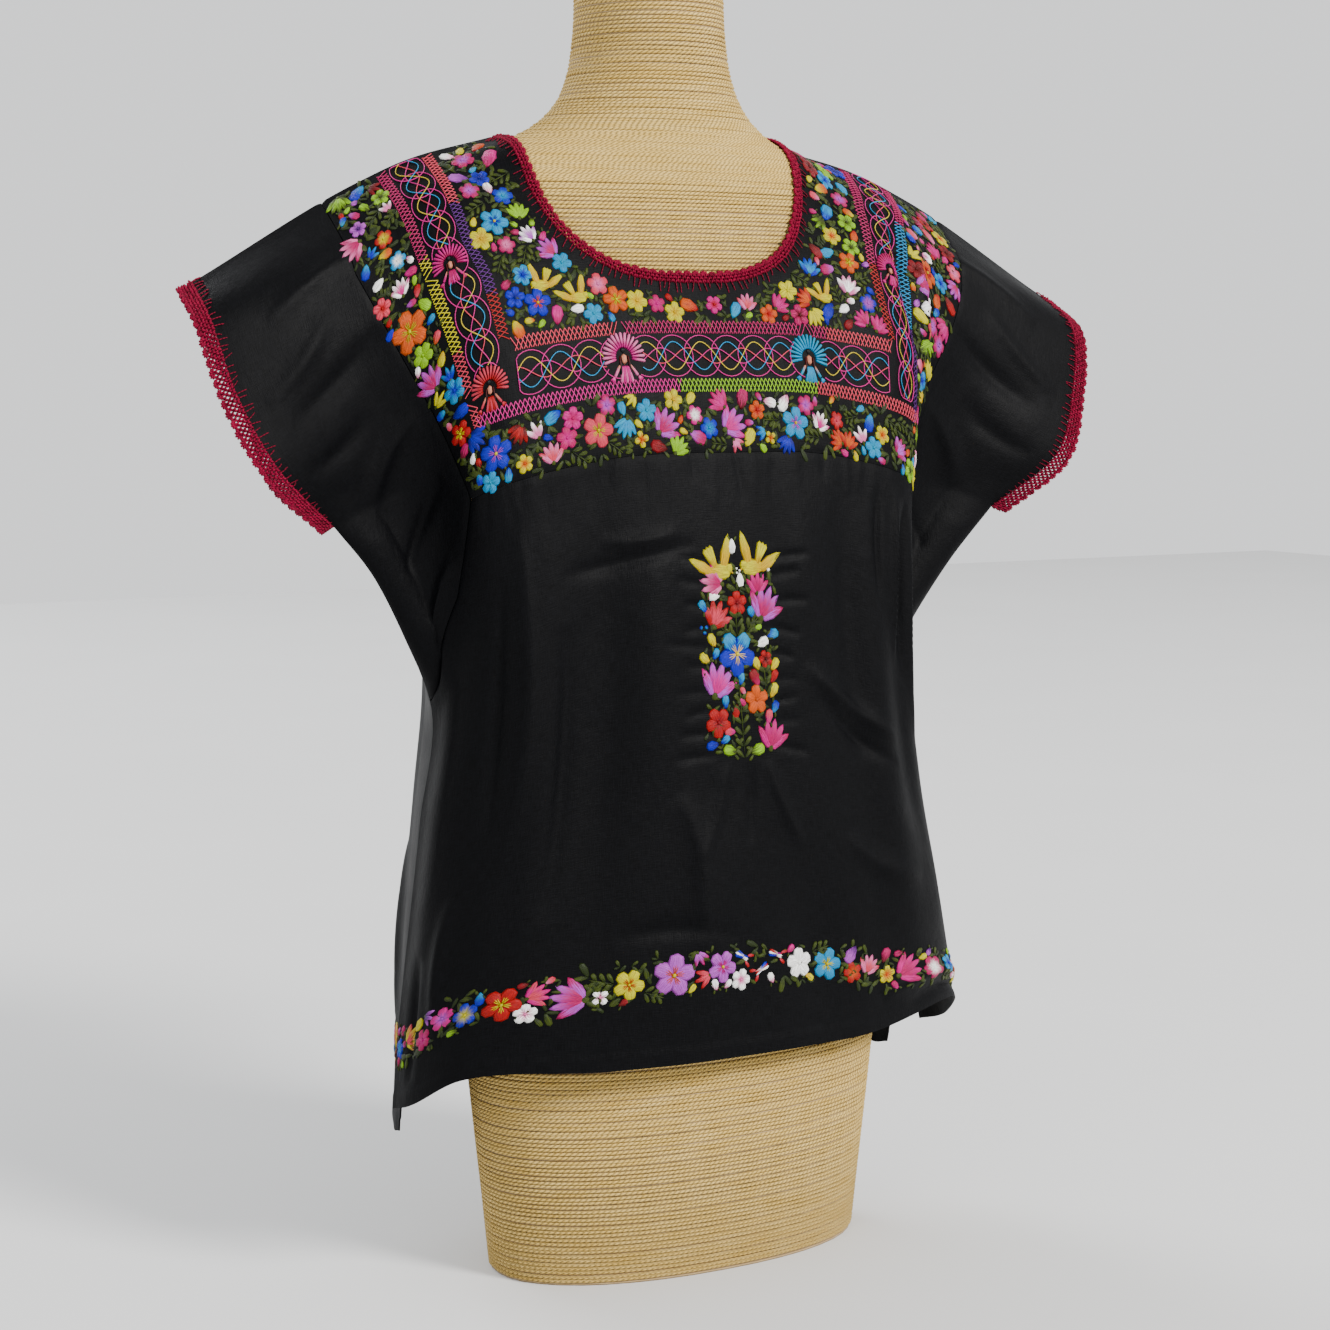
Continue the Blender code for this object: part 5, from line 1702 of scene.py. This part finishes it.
def make_cord(finish):
    """One long cord wound round the form from its foot to the middle of its neck cap."""
    travelled, outline = form_outline()
    turns = int(travelled[-1] / CORD_PITCH)
    wound = np.arange(turns * CORD_POINTS) / CORD_POINTS
    height, half_width, front, back, power = (
        np.interp(wound * CORD_PITCH, travelled, outline[:, column]) for column in range(5))
    angle = wound * math.tau
    cosine, sine = np.cos(angle), np.sin(angle)
    x = (half_width + CORD_PROUD) * np.sign(cosine) * np.abs(cosine) ** (2 / power)
    y = (front + back) / 2 + ((back - front) / 2 + CORD_PROUD) * np.sign(sine) * np.abs(sine) ** (2 / power)
    waver = 0.00025 * np.sin(wound * 2.7) + 0.0002 * np.sin(wound * 17.3 + 1.0)
    line = np.stack([x, y, height + waver * (height < NECK_CAP_Z - 0.004)], axis=1)
    made = join("form_cord", [run_threads("form_cord", [(line, "straw", "jute")], CORD_RADIUS, finish)])


# Light, floor and camera


def area_light(name, place, towards, size, power, colour):
    light = bpy.data.lights.new(name, "AREA")
    light.shape, light.size, light.energy, light.color = "DISK", size, power, colour
    made = bpy.data.objects.new(name, light)
    made.location = place
    made.rotation_euler = (Vector(towards) - Vector(place)).to_track_quat("-Z", "Y").to_euler()
    bpy.context.scene.collection.objects.link(made)


def set_stage():
    """A wide floor, a pale studio world and three soft lamps."""
    mesh = bpy.data.meshes.new("floor")
    corners = [(x * FLOOR_HALF, y * FLOOR_HALF, 0) for x, y in ((-1, -1), (1, -1), (1, 1), (-1, 1))]
    mesh.from_pydata(corners, [], [(0, 1, 2, 3)])
    mesh.materials.append(pale_floor("pale_floor"))
    floor = bpy.data.objects.new("floor", mesh)
    bpy.context.scene.collection.objects.link(floor)
    world = bpy.data.worlds.new("studio")
    world.use_nodes = True
    background = world.node_tree.nodes["Background"].inputs
    background["Color"].default_value = (0.98, 0.99, 1.0, 1)
    background["Strength"].default_value = 1.2
    bpy.context.scene.world = world
    middle = (0, 0.03, 0.55)
    area_light("key", (3.3, -7.0, 5.2), middle, 2.6, 1500, (1.0, 0.98, 0.95))
    area_light("fill", (-6.3, -4.0, 2.8), middle, 4.8, 180, (0.97, 0.98, 1.0))
    area_light("rim", (-2.1, 6.2, 5.2), middle, 4.2, 480, (0.95, 0.97, 1.0))


def set_camera():
    data = bpy.data.cameras.new("view")
    data.lens, data.sensor_width = LENS, SENSOR
    camera = bpy.data.objects.new("view", data)
    camera.location = CAMERA_AT
    camera.rotation_euler = (math.radians(90 - CAMERA_DIP), 0, -math.radians(CAMERA_TURN))
    bpy.context.scene.collection.objects.link(camera)
    bpy.context.scene.camera = camera


# Putting it together


STITCHES, THREAD_RUNS, SHAPES = stitch_tree(), thread_tree(), stitch_shapes()


# Where small motifs are drawn, from one corner to the other
YOKE_BOX = (-0.280, 0.004), (0.280, YOKE_DOWN)
FRONT_HEM_BOX = (-0.295, 0.625), (0.295, 0.712)
BACK_HEM_BOX = (-0.295, 0.670), (0.295, 0.722)
HEM_BAND_ENDS = 0.293
CENTRE_TOP_FREE = 0.016


def hem_region(band):
    """What of the hem a motif of some margin may stand on."""
    def region(across, down, margin):
        return abs(across) < HEM_BAND_ENDS - margin and abs(down - reading(band, across)) < HEM_BAND_HALF - margin
    return region


def centre_region(across, down, margin):
    """The same for the centre panel."""
    low, high, top, foot = CENTRE_PANEL
    return low + margin < across < high - margin and top + CENTRE_TOP_FREE + margin < down < foot - margin


def yoke_region(openwork, neck_depth, spare):
    """The same for a yoke, clear of its seams, its neck hole and its openwork."""
    def region(across, down, margin):
        if down < 0.004 + margin or down > YOKE_DOWN - 0.001 - margin * 0.6:
            return False
        if abs(across) > half_armhole(down) - 0.0015 - margin:
            return False
        if neck_share(across, down, neck_depth) < 1.03 + (margin + spare) / min(NECK_HALF, neck_depth):
            return False
        return not openwork.covers(across, down, margin * 0.9)
    return region


def sew_posy(name, cloth, seed, placed, finish, *area, **filling):
    """One embroidered area: the motifs of its table, then small ones where it is still bare."""
    posy = Posy(seed)
    for motif in placed:
        posy.add(motif)
    posy.fill(*area, **filling)
    return posy.sewn(name, cloth, finish)


def mirrored(crease):
    """A sleeve's crease on the wearer's left, a little lower."""
    return crease._replace(**{part: (-getattr(crease, part)[0], getattr(crease, part)[1] + LEFT_LOWER)
                              for part in ("start", "bend", "end")})


def main():
    """Hangs and sews every piece in the place of its solid, and sets the light and the view."""
    cotton = black_cotton("black_cotton")
    satin = satin_thread("satin_stitch")
    couched = twisted_thread("couched_thread", 0.0022, 0.5, 0.02, 0.0002, 300)
    yarn = twisted_thread("crochet_yarn", 0.0026, 0.75, 0.0, 0.0004, 300, specular=0.12)
    yarn_knots = satin_thread("crochet_knots", 0.75, 0.0, 0.12)
    jute = twisted_thread("jute_cord", 0.0042, 0.85, 0.03, 0.0008, 420, specular=0.12, painted_shade_floor=0.46)

    front = Cloth(FRONT, CUFF_FRONT, SLIT_FRONT, FRONT_FOLDS, outward=-1)
    back = Cloth(BACK, CUFF_BACK, SLIT_BACK, BACK_FOLDS, outward=1)
    share_seams(front, back)
    on_sleeves = SLEEVE_CREASES + [mirrored(crease) for crease in SLEEVE_CREASES]
    front.crease(FRONT_CREASES + LEFT_YOKE_CREASES + on_sleeves + gathers(SEED) + puckers(SEED), FRONT_LENGTH)
    back.crease(BACK_CREASES + on_sleeves + gathers(SEED + 1), BACK_LENGTH)

    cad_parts["dress_form"].data.materials.clear()
    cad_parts["dress_form"].data.materials.append(plain_jute("jute_core"))
    make_cord(jute)

    for side_name, cloth, depth, length, grid in (
        ("front", front, NECK_FRONT, FRONT_LENGTH, FRONT_BODY_GRID),
        ("back", back, NECK_BACK, BACK_LENGTH, BACK_BODY_GRID),
    ):
        yoke_cut, body_cut = yoke_grid(depth), body_grid(length, *grid)
        yoke = make_panel(side_name + "_yoke_cloth", side_name + "_yoke", cloth, yoke_cut, cotton)
        body = make_panel(side_name + "_body_cloth", side_name + "_body", cloth, body_cut, cotton)
    for side_name, side in (("right", -1), ("left", 1)):
        make_sleeve(side_name + "_sleeve_cloth", side_name + "_sleeve",
                                         front, back, side, cotton)

    front_open = Openwork((RIGHT_INNER, RIGHT_OUTER), (LEFT_INNER, LEFT_OUTER))
    back_open = Openwork((BACK_INNER, BACK_OUTER), (BACK_INNER, BACK_OUTER))
    front_colours = {-1: (SIDE_OUTER_THREADS, SIDE_INNER_THREADS), 1: (LEFT_OUTER_THREADS, LEFT_INNER_THREADS),
                     0: (TOP_THREADS, FOOT_THREADS)}
    back_colours = {-1: (LEFT_OUTER_THREADS, SIDE_INNER_THREADS), 1: (SIDE_OUTER_THREADS, LEFT_INNER_THREADS),
                    0: (FOOT_THREADS, TOP_THREADS)}
    front_open_piece = front_open.sewn("front_openwork", front, front_colours, FRONT_DOLLS, couched, satin)
    back_open_piece = back_open.sewn("back_openwork", back, back_colours, BACK_DOLLS, couched, satin)

    front_flowers = sew_posy("front_yoke_flowers", front, SEED, FRONT_YOKE_MOTIFS, satin,
                             yoke_region(front_open, NECK_FRONT, 0.004), *YOKE_BOX)
    back_flowers = sew_posy("back_yoke_flowers", back, SEED + 1, [], satin,
                            yoke_region(back_open, NECK_BACK, 0.002), *YOKE_BOX, largest=0.0104)
    centre_flowers = sew_posy("centre_flowers", front, SEED + 2, CENTRE_MOTIFS, satin,
                              centre_region, CENTRE_PANEL[::2], CENTRE_PANEL[1::2], density=0.3)
    in_band = [motif._replace(down=reading(FRONT_HEM_BAND, motif.across * MM) / MM + motif.down)
               for motif in HEM_MOTIFS]
    front_hem = sew_posy("front_hem_flowers", front, SEED + 3, in_band, satin,
                         hem_region(FRONT_HEM_BAND), *FRONT_HEM_BOX)
    back_hem = sew_posy("back_hem_flowers", back, SEED + 4, [], satin,
                        hem_region(BACK_HEM_BAND), *BACK_HEM_BOX, largest=0.0100)

    neck = make_crochet("neck_crochet_yarn", "neck_crochet",
                        neck_rim(front, back), NECK_ROWS, True, yarn, yarn_knots)
    for side_name, side in (("right", -1), ("left", 1)):
        make_crochet(side_name + "_cuff_yarn", side_name + "_cuff_crochet",
                                        cuff_rim(front, back, side), CUFF_ROWS, side > 0, yarn, yarn_knots)

    set_stage()
    set_camera()


main()
